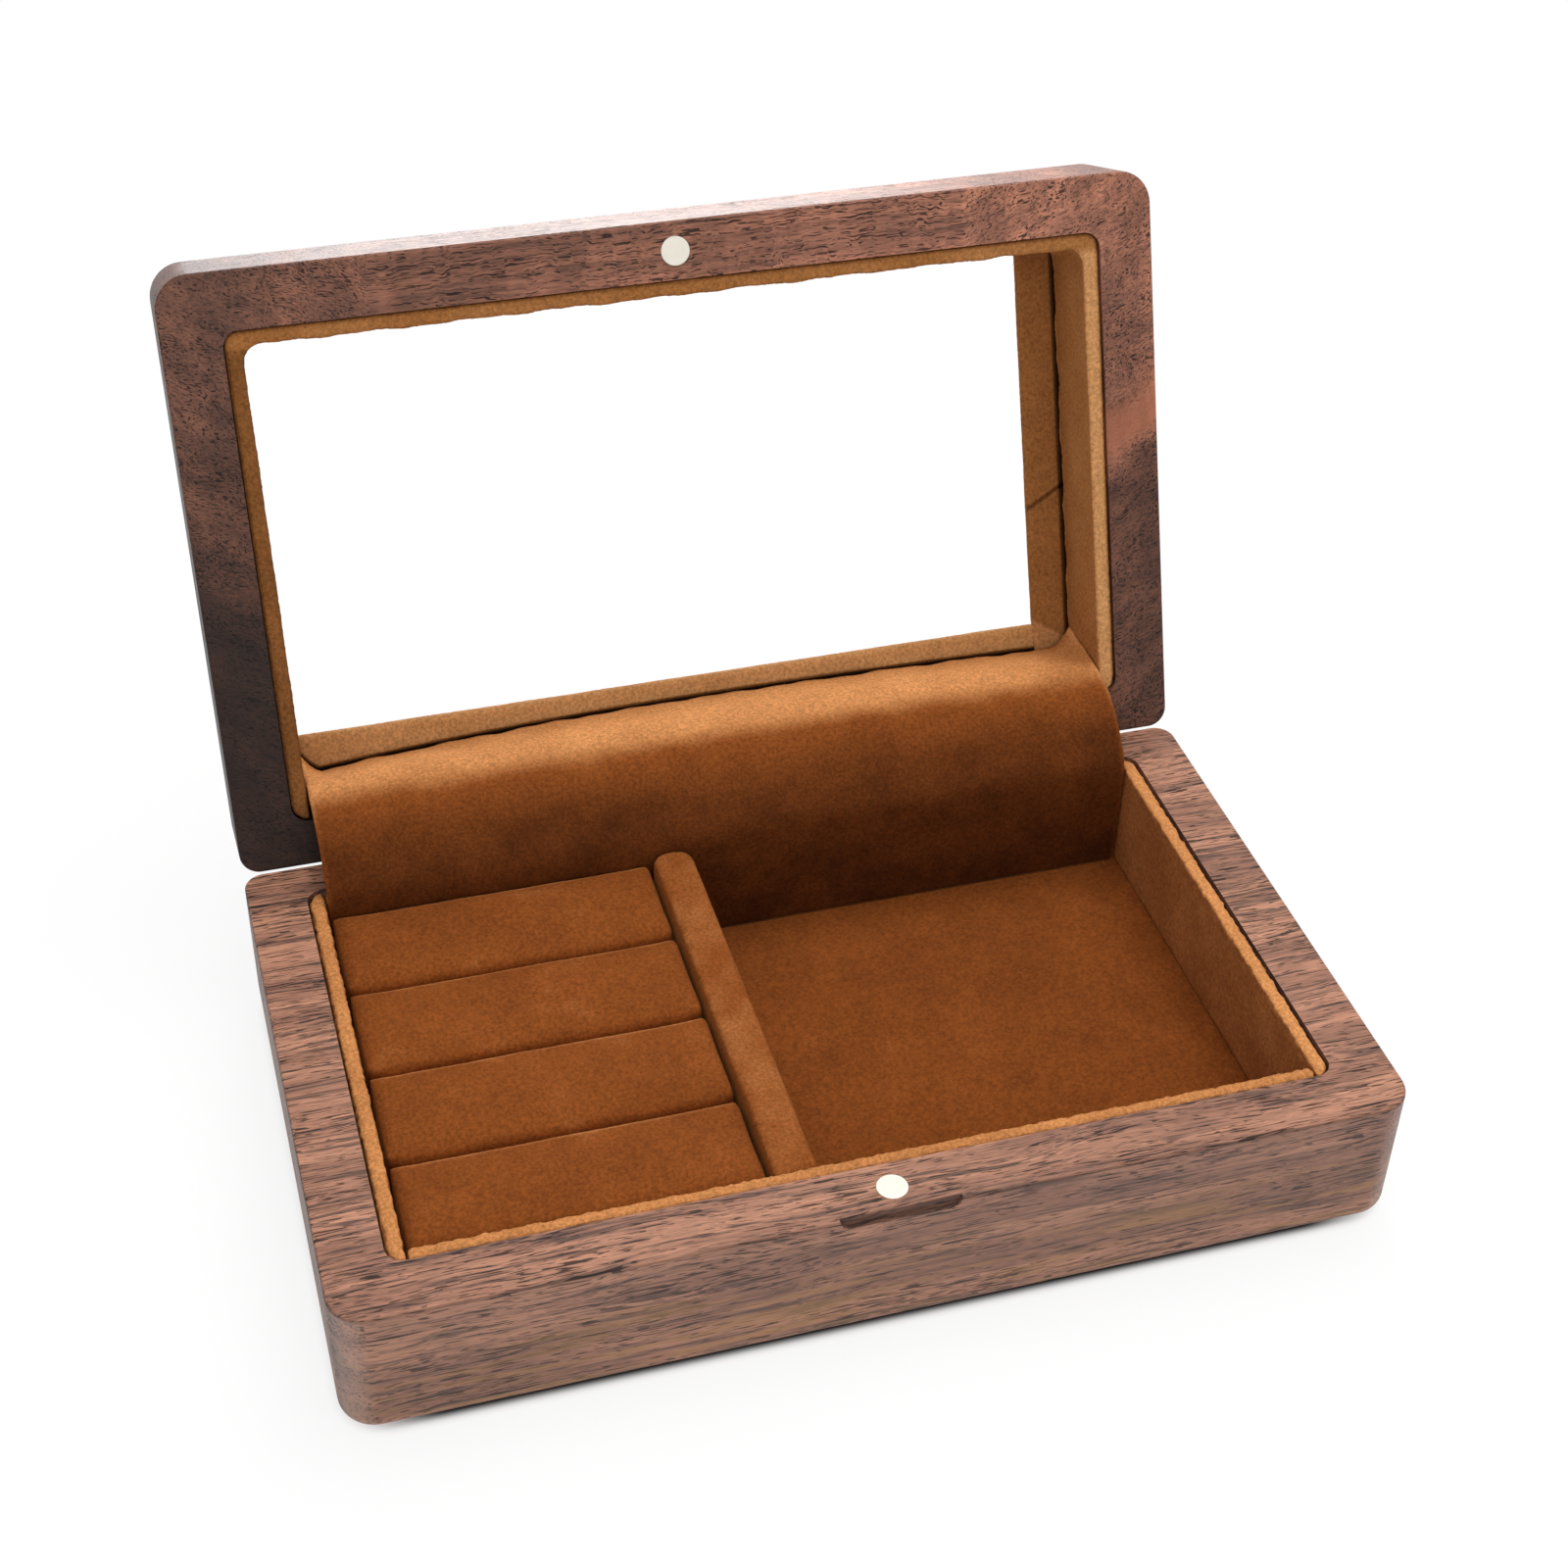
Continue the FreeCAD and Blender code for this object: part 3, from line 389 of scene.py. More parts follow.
# %% [markdown]
# ## Walnut of the base
# Below the rim the plank turns greyer, with golden streaks low down. The rounded corners are paler, a painted
# reflection of the white room, and a thin line of painted shade darkens the edge under the rim, as painted
# shade darkens the finger nick. Each of these is a mask: a smooth step along one axis, or a few of them
# multiplied, which is easier to place to a fraction of a millimetre than a painted picture.

# %% Base walnut
GOLD_SIZE = (0.030, 0.004, 0.0016)
GOLD_HEIGHTS = (0.021, 0.010)
SIDE_START = (0.0260, 0.0252)
ARRIS_TOP = (0.02598, 0.0258)
ARRIS_FOOT = (0.0253, 0.0256)
CORNER_START = (0.0815, 0.0855)
CORNER_END = (0.0874, 0.0866)
RIM_END = (0.050, 0.080)
NICK_HALF = 0.0098
NICK_FLOOR = 0.0239
NICK_DEPTHS = (-0.0518, -0.0510)
HARD_STEP = 0.0001


def base_shade(wood, flat, tone):
    """Grey sides and gold streaks, a painted reflection on the corners and painted shade on the edge and
    nick.
    """
    across, depth, height = [wood.axis(flat, letter) for letter in "XYZ"]
    below = height.between(*SIDE_START)
    # A thin line of painted shade along the rounded edge under the rim.
    arris_shade = height.between(*ARRIS_TOP) * height.between(*ARRIS_FOOT)
    tone = wood.scaled(tone, 1.0 - below * 0.02 - arris_shade * 0.35)
    tone = wood.mix(below * 0.22, tone, paint(116, 100, 96))
    gold = wood.noise(flat, GOLD_SIZE, 2.0).between(0.48, 0.62) * height.between(*GOLD_HEIGHTS)
    tone = wood.mix(gold * 0.50, tone, paint(158, 119, 79))
    # The rounded corners are painted paler: a painted reflection of the white room.
    corner = abs(across).between(*CORNER_START) * abs(across).between(*CORNER_END)
    tone = wood.mix(corner * below * 0.30, tone, paint(176, 156, 148))
    # Painted shade in the recess of the finger nick.
    nick_shade = (abs(across).between(NICK_HALF + HARD_STEP, NICK_HALF)
               * height.between(NICK_FLOOR, NICK_FLOOR + HARD_STEP)
               * depth.between(NICK_DEPTHS[0], NICK_DEPTHS[0] + HARD_STEP)
               * depth.between(NICK_DEPTHS[1], NICK_DEPTHS[1] - HARD_STEP))
    rim_end = abs(across).between(*RIM_END) * (1.0 - below)
    return wood.scaled(tone, (1.0 - nick_shade * 0.52) * (1.00 + rim_end * 0.10))


def dress(node, material):
    """Gives a solid of the frame its finish."""
    mesh = frame["nodes"][node].data
    mesh.materials.clear()
    mesh.materials.append(material)


dress("base_block", walnut(
    "walnut_base", turn=0.0, curl=0.0, slope=0.0, streaks=0.85, pale=paint(174, 124, 99),
    mid=paint(141, 99, 80), deep=paint(80, 60, 53), shade=base_shade))
print("walnut on the base")

# %% [markdown]
# ## Walnut of the lid
# The lid is cut from a darker, figured part of the plank, so its grain curls and slants. Its figure is a V:
# dark heartwood low down, a reddish band above it, and a darker left side; the darkening low down and to the
# left is partly the wood and partly painted shade. The lid stands open, and turning the coordinates by the
# hinge's angle lays it flat, so that the figure is written as if the box were shut.

# %% Lid walnut
hinge = next(joint for joint in frame["joints"] if joint["name"] == "lid_hinge")
OPEN_ANGLE = math.radians(max(hinge["range_deg"]))
PIN = Vector(hinge["pos_m"])
SHUT = Matrix.Rotation(OPEN_ANGLE, 3, "X")
WANDER_SIZE = (0.020, 0.020, 0.020)
WANDER = 0.016
FIGURE_SLOPE = 0.7
HEART_SHADE_TOP = 0.0040
HEART_SHADE_FOOT = 0.0080
HEART_SHADE_SPREAD = 0.010
RED_RISE = (-0.006, 0.000)
RED_FALL = (0.012, 0.004)
RED_SIDE = (-0.02, 0.04)
SECOND_RISE = (0.006, 0.009)
SECOND_FALL = (0.022, 0.016)
SLANT_SIZE = (0.006, 0.030, 0.030)
LEFT_STILE = (-0.060, -0.078)
RIGHT_STILE = (0.070, 0.078)
LIGHT_SIDE = (-0.050, 0.070)


def lid_shade(wood, flat, tone):
    """The V-shaped figure: heartwood, the reddish band and the darker left side, their darkness partly
    painted shade.
    """
    across = wood.axis(flat, "X")
    above_pin = (SHUT @ PIN).y - wood.axis(flat, "Y")
    wander = (wood.noise(flat, WANDER_SIZE, 2.0) - 0.5) * WANDER
    rise = above_pin - abs(across) * FIGURE_SLOPE + wander
    left = across.between(*LEFT_STILE)
    # Darker low down: partly heartwood, partly painted shade.
    heart_and_shade = rise.between(left * HEART_SHADE_SPREAD - HEART_SHADE_TOP, left * -HEART_SHADE_SPREAD - HEART_SHADE_FOOT)
    red = rise.between(*RED_RISE) * rise.between(*RED_FALL) * across.between(*RED_SIDE)
    second = rise.between(*SECOND_RISE) * rise.between(*SECOND_FALL)
    slant = wood.noise(flat, SLANT_SIZE, 2.0, 0.5, 0.6).between(0.40, 0.62)
    tone = wood.mix(red * 0.75, tone, paint(168, 104, 76))
    tone = wood.scaled(tone, (1.0 - heart_and_shade * 0.60) * (1.0 - second * 0.15) * (0.82 + slant * 0.24))
    # Lighter to the right and darker to the left: partly the wood, partly painted shade.
    light = 0.70 + across.between(*LIGHT_SIDE) * 0.60 - across.between(*RIGHT_STILE) * 0.26
    return wood.scaled(tone, light * (1.0 - left * 0.34) * (1.0 - left * heart_and_shade * 0.50))


dress("lid_frame", walnut(
    "walnut_lid", turn=OPEN_ANGLE, curl=0.0014, slope=0.5, streaks=0.60, pale=paint(164, 109, 86),
    mid=paint(137, 91, 73), deep=paint(86, 59, 50), shade=lid_shade))
print("walnut on the lid, open at", round(math.degrees(OPEN_ANGLE), 1), "degrees")

# %% [markdown]
# ## Glass, brass and magnets
# The window is plain clear glass, the hidden hinges are brushed brass, and the two catches are nickel-plated
# disc magnets with a soft satin face. Real metal is never even, so a little noise varies how rough it is.

# %% Hard finishes
SMEAR_SIZE = (0.02, 0.02, 0.02)
HAIRLINE_SIZE = (0.010, 0.0003, 0.0003)
CLOUD_SIZE = (0.0012, 0.0012, 0.0012)

clear = new_finish("clear_glass")
smear = clear.noise(clear.place(), SMEAR_SIZE, 3.0)
clear.end_with(clear.node("ShaderNodeBsdfPrincipled", {}, {
    "Base Color": WHITE, "Roughness": smear * 0.02, "IOR": 1.01, "Transmission Weight": 1.0}))
dress("window_pane", clear.owner)

brass = new_finish("brushed_brass")
hairlines = brass.noise(brass.place(), HAIRLINE_SIZE, 2.0)
brass.end_with(brass.node("ShaderNodeBsdfPrincipled", {}, {
    "Base Color": brass.mix(hairlines, paint(176, 132, 66), paint(214, 172, 98)),
    "Metallic": 1.0, "Roughness": 0.28 + hairlines * 0.2}))

nickel = new_finish("nickel_plate")
cloud = nickel.noise(nickel.place(), CLOUD_SIZE, 3.0)
nickel.end_with(nickel.node("ShaderNodeBsdfPrincipled", {}, {
    "Base Color": nickel.mix(cloud, paint(214, 208, 195), paint(230, 224, 212)),
    "Metallic": 0.3, "Roughness": 0.35 + cloud * 0.15}))

for node in frame["nodes"]:
    if node.startswith("hinge_") and node != "hinge_flap":
        dress(node, brass.owner)
    if node.endswith("_magnet"):
        dress(node, nickel.owner)
print("glass, brass and nickel on")

# %% [markdown]
# ## Velvet
# Short caramel velvet covers everything inside. Where its pile lies towards the eye one looks down between
# the fibres and it is deep brown; where it stands up or is brushed away, the lit tips make it pale.
# So the finish has three colours, and every piece says with a number per point, its nap, how far the pile
# stands up there: 0 is deep, 0.5 is at ease and 1 is on end; -1 is a crease that no light gets into. The nap
# also carries painted light and shade: pieces set it higher on tops, crests and edges where light falls or
# sheen shows, and lower on faces and in creases that lie in shade.
# Sheen adds the pale line of an edge. Modelling each hair instead would take millions of faces.

# %% Velvet
STROKE_SIZE = (0.010, 0.010, 0.010)
STROKE = 0.38
PILE_SIZE = (0.0006, 0.0006, 0.0006)
CREASE_NAP = (-1, -0.1)


def velvet(name, deep, at_ease, raised):
    """Velvet from the colours of its pile lying down, at ease and standing up."""
    cloth = new_finish(name)
    flat = cloth.place()
    stroke = cloth.noise(flat, STROKE_SIZE, 3.0, 0.6)
    pile = cloth.noise(flat, PILE_SIZE, 3.0, 0.75)
    nap = cloth.node("ShaderNodeAttribute", {"attribute_name": "nap"}, {}, "Fac")
    level = nap + (stroke - 0.5) * STROKE
    tone = cloth.mix(level * 2 - 1, cloth.mix(level * 2, deep, at_ease), raised)
    # A nap below zero darkens the tone almost to black: painted shade in creases.
    light = (0.66 + pile.between(0.25, 0.75) * 0.68) * (0.06 + nap.between(*CREASE_NAP) * 0.94)
    relief = cloth.node("ShaderNodeBump", {}, {"Strength": 0.5, "Distance": 0.0002, "Height": pile})
    cloth.end_with(cloth.node("ShaderNodeBsdfPrincipled", {}, {
        "Base Color": cloth.scaled(tone, light), "Roughness": 0.95, "Normal": relief,
        "Specular IOR Level": 0.05, "Sheen Weight": 0.22, "Sheen Roughness": 0.30,
        "Sheen Tint": paint(255, 178, 105)}))
    return cloth.owner


base_velvet = velvet("velvet_base", paint(64, 30, 11), paint(133, 72, 30), paint(208, 142, 86))
# The lid's velvet is lighter and more olive than the base's, partly for its pile and partly as painted light.
lid_velvet = velvet("velvet_lid", paint(104, 65, 33), paint(156, 102, 56), paint(202, 148, 96))
print("velvet mixed:", base_velvet.name, lid_velvet.name)

# %% [markdown]
# ## Blocks to start from
# Most velvet pieces are boards, so they start as a block with the corners of the solid they stand for.
# An operator acts on whatever is selected, so one helper lets go of everything and another picks one piece.
# Applying the transform at once puts the block's place into its mesh and leaves the object at the origin.

# %% Blocks
def clear_selection():
    """Leaves edit mode and lets go of everything."""
    if bpy.context.object and bpy.context.object.mode != "OBJECT":
        bpy.ops.object.mode_set(mode="OBJECT")
    bpy.ops.object.select_all(action="DESELECT")


def pick(piece):
    """Makes a piece the one that the next operator acts on."""
    clear_selection()
    piece.select_set(True)
    bpy.context.view_layer.objects.active = piece


def add_block(name, low, high):
    """A block between two corners, with its place in its mesh."""
    clear_selection()
    low, high = Vector(low), Vector(high)
    bpy.ops.mesh.primitive_cube_add(size=1, location=(low + high) / 2, scale=high - low)
    piece = bpy.context.object
    piece.name = piece.data.name = name
    bpy.ops.object.transform_apply(location=True, rotation=True, scale=True)
    return piece


print("blocks can be added and picked")

# %% [markdown]
# ## Rounded edges
# Cloth can't make a sharp corner, so edges are bevelled. By hand one would click the edges; in code a test
# picks them from where their two ends are, such as all upright ones or all at one height.

# %% Rounded edges
CLOSE = 0.001 * MM


def select_edges(piece, wanted):
    """Goes into edit mode and selects the edges that the test wants: it gets both ends."""
    pick(piece)
    bpy.ops.object.mode_set(mode="EDIT")
    bpy.ops.mesh.select_mode(type="EDGE")
    bpy.ops.mesh.select_all(action="DESELECT")
    mesh = bmesh.from_edit_mesh(piece.data)
    for edge in mesh.edges:
        edge.select_set(wanted(edge.verts[0].co, edge.verts[1].co))
    mesh.select_flush_mode()
    bmesh.update_edit_mesh(piece.data)


def round_edges(piece, radius, wanted, steps=5):
    """Bevels the edges that the test wants."""
    select_edges(piece, wanted)
    bpy.ops.mesh.bevel(offset=radius, offset_type="OFFSET", segments=steps, affect="EDGES")
    bpy.ops.object.mode_set(mode="OBJECT")


def same(first, second):
    return abs(first - second) < CLOSE


def upright(first, second):
    return same(first.x, second.x) and same(first.y, second.y)


def level_at(height):
    return lambda first, second: same(first.z, height) and same(second.z, height)


print("edges can be rounded")

# %% [markdown]
# ## A skin of cloth
# A voxel remesh gives a block an even skin of small faces, smoothing takes the sharpness off, and two
# displacements by noise make slack cloth and the fuzzy surface of pile. Cloth that is glued to a board has
# no room to fall or swell, so no simulation is needed here, and it is kept for the foam rolls.

# %% Cloth skin
def modify(piece, kind, **settings):
    """Adds a modifier and applies it."""
    pick(piece)
    modifier = piece.modifiers.new(kind.lower(), kind)
    for key, value in settings.items():
        setattr(modifier, key, value)
    bpy.ops.object.modifier_apply(modifier=modifier.name)


def cloud_texture(name, size, depth):
    texture = bpy.data.textures.new(name, "CLOUDS")
    texture.noise_scale = size
    texture.noise_depth = depth
    return texture


PILE = cloud_texture("pile", 0.7 * MM, 2)
TWIST = cloud_texture("twist", 1.2 * MM, 0)
SLACK = cloud_texture("slack", 9 * MM, 1)


def ruffle(piece, fuzz, slack):
    """Slack cloth and fuzzy pile, by two displacements."""
    modify(piece, "DISPLACE", texture=SLACK, texture_coords="LOCAL", strength=slack, mid_level=0.5)
    modify(piece, "DISPLACE", texture=PILE, texture_coords="LOCAL", strength=fuzz, mid_level=0.5)
    pick(piece)
    bpy.ops.object.shade_smooth()


def make_cloth_skin(piece, voxel, fuzz, slack):
    """Turns a sharp block into a velvet-covered piece."""
    modify(piece, "REMESH", mode="VOXEL", voxel_size=voxel)
    modify(piece, "SMOOTH", factor=0.5, iterations=3)
    ruffle(piece, fuzz, slack)


print("cloth noises:", [texture.name for texture in (PILE, TWIST, SLACK)])

# %% [markdown]
# ## Brushing and fitting
# A maker brushes velvet to make its pile lie one way. Here a function of a point's place and normal gives the
# nap, which also holds painted light and shade, and it is stored on the mesh as an attribute, because the
# velvet finish can read that wherever the piece moves. Fitting tells the frame which body a piece rides on
# and which solids it stands for.

# %% Brush and fit
def ease(value, low, high):
    """0 at low, 1 at high and a smooth step between them, as in a finish."""
    share = min(1.0, max(0.0, (value - low) / (high - low)))
    return share * share * (3 - 2 * share)


def brush_and_light(piece, material, level):
    """Covers a piece with velvet. level gives the nap, painted light and shade included, from a point's place
    and normal.
    """
    piece.data.materials.clear()
    piece.data.materials.append(material)
    nap = piece.data.attributes.new("nap", "FLOAT", "POINT")
    for vertex, value in zip(piece.data.vertices, nap.data):
        value.value = level(vertex.co, vertex.normal)


def fit(piece, body, *nodes):
    """Puts a finished piece in the place of the solids it stands for."""
    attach(piece, body)
    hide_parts(*nodes)
    print(piece.name, len(piece.data.polygons), "faces")


print("a nap half way up a step:", ease(0.5, 0, 1))

# %% [markdown]
# ## Floor of the base
# A velvet-covered board lies on the floor of the milled pocket and follows its rounded corners. It is a
# block with round upright edges and a skin of cloth.

# %% Floor cloth
POCKET_ROUND = 2.9 * MM
FLOOR_SKIN = 0.6 * MM
FLOOR_NAP = 0.43

floor_cloth = add_block("velvet_floor", *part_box("floor_board"))
round_edges(floor_cloth, POCKET_ROUND, upright)
make_cloth_skin(floor_cloth, FLOOR_SKIN, 0.10 * MM, 0.10 * MM)
brush_and_light(floor_cloth, base_velvet, lambda place, normal: FLOOR_NAP)
fit(floor_cloth, "base", "floor_board")

# %% [markdown]
# ## Side linings of the base
# Boards wrapped in velvet line the walls of the pocket. The cloth that is folded over their tops stands up a
# little past the board, fuzzy like a rope and pale, partly for its fuzz and partly as painted light from
# above.
# A vertex group limits a coarser noise to that fold, and the nap takes its level from how far a point faces
# up. The right wall catches more light, so it is painted paler.

# %% Side linings
BOARD_ROUND = 0.9 * MM
FINE_SKIN = 0.4 * MM
TOP_ROLL = 0.1 * MM
WALL_GAP = 0.2 * MM
ROPE_DEPTH = 1.5 * MM
ROPE_TWIST = 0.4 * MM
SIDE_NAPS = {"left": (0.56, 0.88), "right": (0.68, 1.0)}


def roughen_top(lining, top):
    """Makes the fold along the top of a lining uneven, like a rope."""
    rope = lining.vertex_groups.new(name="rope")
    fold = [vertex.index for vertex in lining.data.vertices if vertex.co.z > top - ROPE_DEPTH]
    rope.add(fold, 1.0, "REPLACE")
    modify(lining, "DISPLACE", texture=TWIST, texture_coords="LOCAL", strength=ROPE_TWIST, mid_level=0.5,
           vertex_group=rope.name)


def pale_top(level, top_level):
    """A level for the sides of a board and one for its top; the paler top is partly painted light."""
    return lambda place, normal: level + (top_level - level) * ease(normal.z, 0.2, 0.8)


for side, naps in SIDE_NAPS.items():
    low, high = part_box(f"base_lining_{side}")
    high.z += TOP_ROLL
    low.x += WALL_GAP
    high.x -= WALL_GAP
    outer = low.x if side == "left" else high.x
    lining = add_block(f"velvet_lining_{side}", low, high)
    round_edges(lining, POCKET_ROUND, lambda a, b: upright(a, b) and same(a.x, outer))
    round_edges(lining, BOARD_ROUND, level_at(high.z), 3)
    make_cloth_skin(lining, FINE_SKIN, 0.30 * MM, 0.15 * MM)
    roughen_top(lining, high.z)
    brush_and_light(lining, base_velvet, pale_top(*naps))
    fit(lining, "base", f"base_lining_{side}")

# %% [markdown]
# ## Front and back linings of the base
# These two go between the side linings. The front one is thin, and its fold bulges over the pocket, so its
# block is a little thicker than the solid. The flap covers most of the back one.

# %% Front and back linings
ROPE_BULGE = 0.5 * MM
END_NAPS = (0.50, 0.86)

for side in ("front", "back"):
    low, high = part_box(f"base_lining_{side}")
    high.z += TOP_ROLL
    if side == "front":
        high.y += ROPE_BULGE
    lining = add_block(f"velvet_lining_{side}", low, high)
    round_edges(lining, BOARD_ROUND, level_at(high.z), 3)
    make_cloth_skin(lining, FINE_SKIN, 0.40 * MM, 0.15 * MM)
    roughen_top(lining, high.z)
    # Their tops are painted paler, partly for the fuzz of the fold and partly as painted light from above.
    brush_and_light(lining, base_velvet, pale_top(*END_NAPS))
    fit(lining, "base", f"base_lining_{side}")

# %% [markdown]
# ## Divider
# A thicker board parts the rolls from the open compartment. Its top is well rounded, and so is its back end,
# where it meets the flap.

# %% Divider
DIVIDER_END_ROUND = 3.0 * MM
DIVIDER_TOP_ROUND = 1.4 * MM
DIVIDER_SKIN = 0.5 * MM
DIVIDER_NAPS = (0.42, 0.55)

low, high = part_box("divider")
divider = add_block("velvet_divider", low, high)
round_edges(divider, DIVIDER_END_ROUND, lambda a, b: upright(a, b) and same(a.y, high.y))
round_edges(divider, DIVIDER_TOP_ROUND, level_at(high.z), 4)
make_cloth_skin(divider, DIVIDER_SKIN, 0.15 * MM, 0.15 * MM)
# Its top is painted paler, partly for the fuzz of its rounding and partly as painted light from above.
brush_and_light(divider, base_velvet, pale_top(*DIVIDER_NAPS))
fit(divider, "base", "divider")

# %% [markdown]
# ## Pressure of foam
# Foam that is wrapped in cloth swells between its edges. A cloth simulation with pressure finds that shape by
# itself, which is hard to draw by hand. It works best on things about as large as furniture, so the
# piece is scaled up for it and back, and how far it swells in the end is set along each axis.

# %% Pressure
SIM_SCALE = 20
SIM_FRAMES = 16
SIM_PRESSURE = 4


def scale_mesh(piece, factor):
    pick(piece)
    bpy.ops.object.mode_set(mode="EDIT")
    bpy.ops.mesh.select_all(action="SELECT")
    bpy.ops.transform.resize(value=(factor, factor, factor), center_override=(0, 0, 0))
    bpy.ops.object.mode_set(mode="OBJECT")


def blow_up(piece, swell):
    """Swells a closed piece by the pressure of the foam in it, as far as swell says along each axis."""
    before = [vertex.co.copy() for vertex in piece.data.vertices]
    scale_mesh(piece, SIM_SCALE)
    cloth = piece.modifiers.new("cloth", "CLOTH")
    cloth.settings.use_pressure = True
    cloth.settings.uniform_pressure_force = SIM_PRESSURE
    cloth.settings.effector_weights.gravity = 0
    for number in range(1, SIM_FRAMES + 1):
        bpy.context.scene.frame_set(number)
    pick(piece)
    bpy.ops.object.modifier_apply(modifier=cloth.name)
    bpy.context.scene.frame_set(1)
    scale_mesh(piece, 1 / SIM_SCALE)
    moves = [vertex.co - start for vertex, start in zip(piece.data.vertices, before)]
    shares = Vector([swell[axis] / max(abs(move[axis]) for move in moves) for axis in range(3)])
    for vertex, start, move in zip(piece.data.vertices, before, moves):
        vertex.co = start + move * shares


print("pressure runs for", SIM_FRAMES, "frames")

# %% [markdown]
# ## Foam rolls
# Four foam rolls stand side by side with narrow slots between them. They are alike, so the first is modelled
# and blown up, and the other three are copies with their own meshes, moved to their places. Their noise
# comes last, so that no two have the same dents.

# %% Foam rolls
ROLL_COUNT = 4
ROLL_SWELL = Vector((0.2, 0.4, 0.9)) * MM
ROLL_EDGE = 1.7 * MM
ROLL_SKIN = 0.9 * MM
ROLL_NAP = 0.46
ROLL_CREST_LIGHT = 0.42

low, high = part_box("ring_roll_1")
first_roll = add_block("velvet_roll_1", low + ROLL_SWELL * Vector((1, 1, 0)), high - ROLL_SWELL)
top = high.z - ROLL_SWELL.z
round_edges(first_roll, ROLL_EDGE, lambda a, b: level_at(top)(a, b) and same(a.y, b.y), 4)
modify(first_roll, "REMESH", mode="VOXEL", voxel_size=ROLL_SKIN)
blow_up(first_roll, ROLL_SWELL)
modify(first_roll, "SUBSURF", levels=1, render_levels=1)

rolls = [first_roll]
for number in range(2, ROLL_COUNT + 1):
    pick(first_roll)
    bpy.ops.object.duplicate()
    roll = bpy.context.object
    roll.name = roll.data.name = f"velvet_roll_{number}"
    bpy.ops.object.mode_set(mode="EDIT")
    bpy.ops.mesh.select_all(action="SELECT")
    bpy.ops.transform.translate(value=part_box(f"ring_roll_{number}")[0] - low)
    bpy.ops.object.mode_set(mode="OBJECT")
    rolls.append(roll)
for number, roll in enumerate(rolls, start=1):
    ruffle(roll, 0.10 * MM, 0.20 * MM)
    # Faces that turn back over the crest get a higher nap: a painted highlight along each crest.
    brush_and_light(roll, base_velvet, lambda place, normal: ROLL_NAP + ROLL_CREST_LIGHT * ease(normal.y, 0.35, 0.75))
    fit(roll, "base", f"ring_roll_{number}")

# %% [markdown]
# ## Working on the lid
# The lid stands open, but its pieces are easier to model with the lid shut, where they are level. So the
# corners of a solid are taken as if the lid were shut, and the finished piece is turned about the hinge pin
# to where the lid stands.

# %% Shut and open
def shut_box(node):
    """Corners of a solid of the lid as they would be with the lid shut."""
    points = [SHUT @ (vertex.co - PIN) + PIN for vertex in frame["nodes"][node].data.vertices]
    return (Vector([min(point[axis] for point in points) for axis in range(3)]),
            Vector([max(point[axis] for point in points) for axis in range(3)]))


def open_with_lid(piece):
    """Turns a piece modelled with the lid shut to where the open lid carries it."""
    pick(piece)
    bpy.ops.object.mode_set(mode="EDIT")
    bpy.ops.mesh.select_all(action="SELECT")
    bpy.ops.transform.rotate(value=OPEN_ANGLE, orient_axis="X", center_override=PIN)
    bpy.ops.object.mode_set(mode="OBJECT")


up_lid = SHUT.inverted() @ Vector((0, -1, 0))
into_lid = SHUT.inverted() @ Vector((0, 0, 1))


def height_on_lid(place):
    """How far a point of the open lid is above the hinge pin, along the lid."""
    return (place - PIN).dot(up_lid)


print("up the open lid:", [round(value, 3) for value in up_lid])

# %% [markdown]
# ## Lining of the lid
# One band of velvet-covered card goes round the sides and the front of the lid's hollow. A second block cuts
# the hollow out of the first, which keeps the band one piece round the corners, as the cloth is. The cloth's
# inner edge is loose: sines of two lengths make it wander without repeating, and the front's face wavers too.

# %% Lid band
OVERRUN = 5 * MM
BAND_SKIN = 0.45 * MM
RIM_GAP = 0.4 * MM
FRONT_THINNER = 0.6 * MM
FRONT_WAVE = 0.2 * MM
LOOSE_EDGE = 2.0 * MM
EDGE_GAP = 0.7 * MM
CREASE = 0.5 * MM
LONG_WAVE = 2.6 * MM
SHORT_WAVE = 1.1 * MM


def waver(place):
    """A loose cloth edge that wanders in and out, between -1 and 1."""
    return 0.6 * math.sin(place / LONG_WAVE) + 0.4 * math.sin(place / SHORT_WAVE + 1)


left_low, left_high = shut_box("lid_lining_left")
right_low, right_high = shut_box("lid_lining_right")
front_low, front_high = shut_box("lid_lining_front")
front_high.y -= FRONT_THINNER
band = add_block("velvet_lid_lining", left_low + Vector((0, 0, RIM_GAP)), right_high)
round_edges(band, POCKET_ROUND, upright)
hollow_low = Vector((left_high.x, front_high.y, left_low.z - OVERRUN))
hollow_high = Vector((right_low.x, left_high.y + OVERRUN, left_high.z + OVERRUN))
hollow = add_block("lid_hollow", hollow_low, hollow_high)
round_edges(hollow, POCKET_ROUND, lambda a, b: upright(a, b) and same(a.y, hollow_low.y))
modify(band, "BOOLEAN", operation="DIFFERENCE", object=hollow, solver="EXACT")
bpy.data.objects.remove(hollow)
make_cloth_skin(band, BAND_SKIN, 0.32 * MM, 0.25 * MM)
for vertex in band.data.vertices:
    end_share = ease(vertex.co.z, left_high.z - LOOSE_EDGE, left_high.z)
    vertex.co.z -= EDGE_GAP * (1 + waver(vertex.co.y)) * end_share
    if vertex.co.y < front_high.y + CREASE:
        vertex.co.y += FRONT_WAVE * waver(vertex.co.x) * ease(vertex.co.y, front_low.y, front_high.y)
open_with_lid(band)
print("band of the lid", round((right_high.x - left_low.x) / MM, 1), "mm wide")

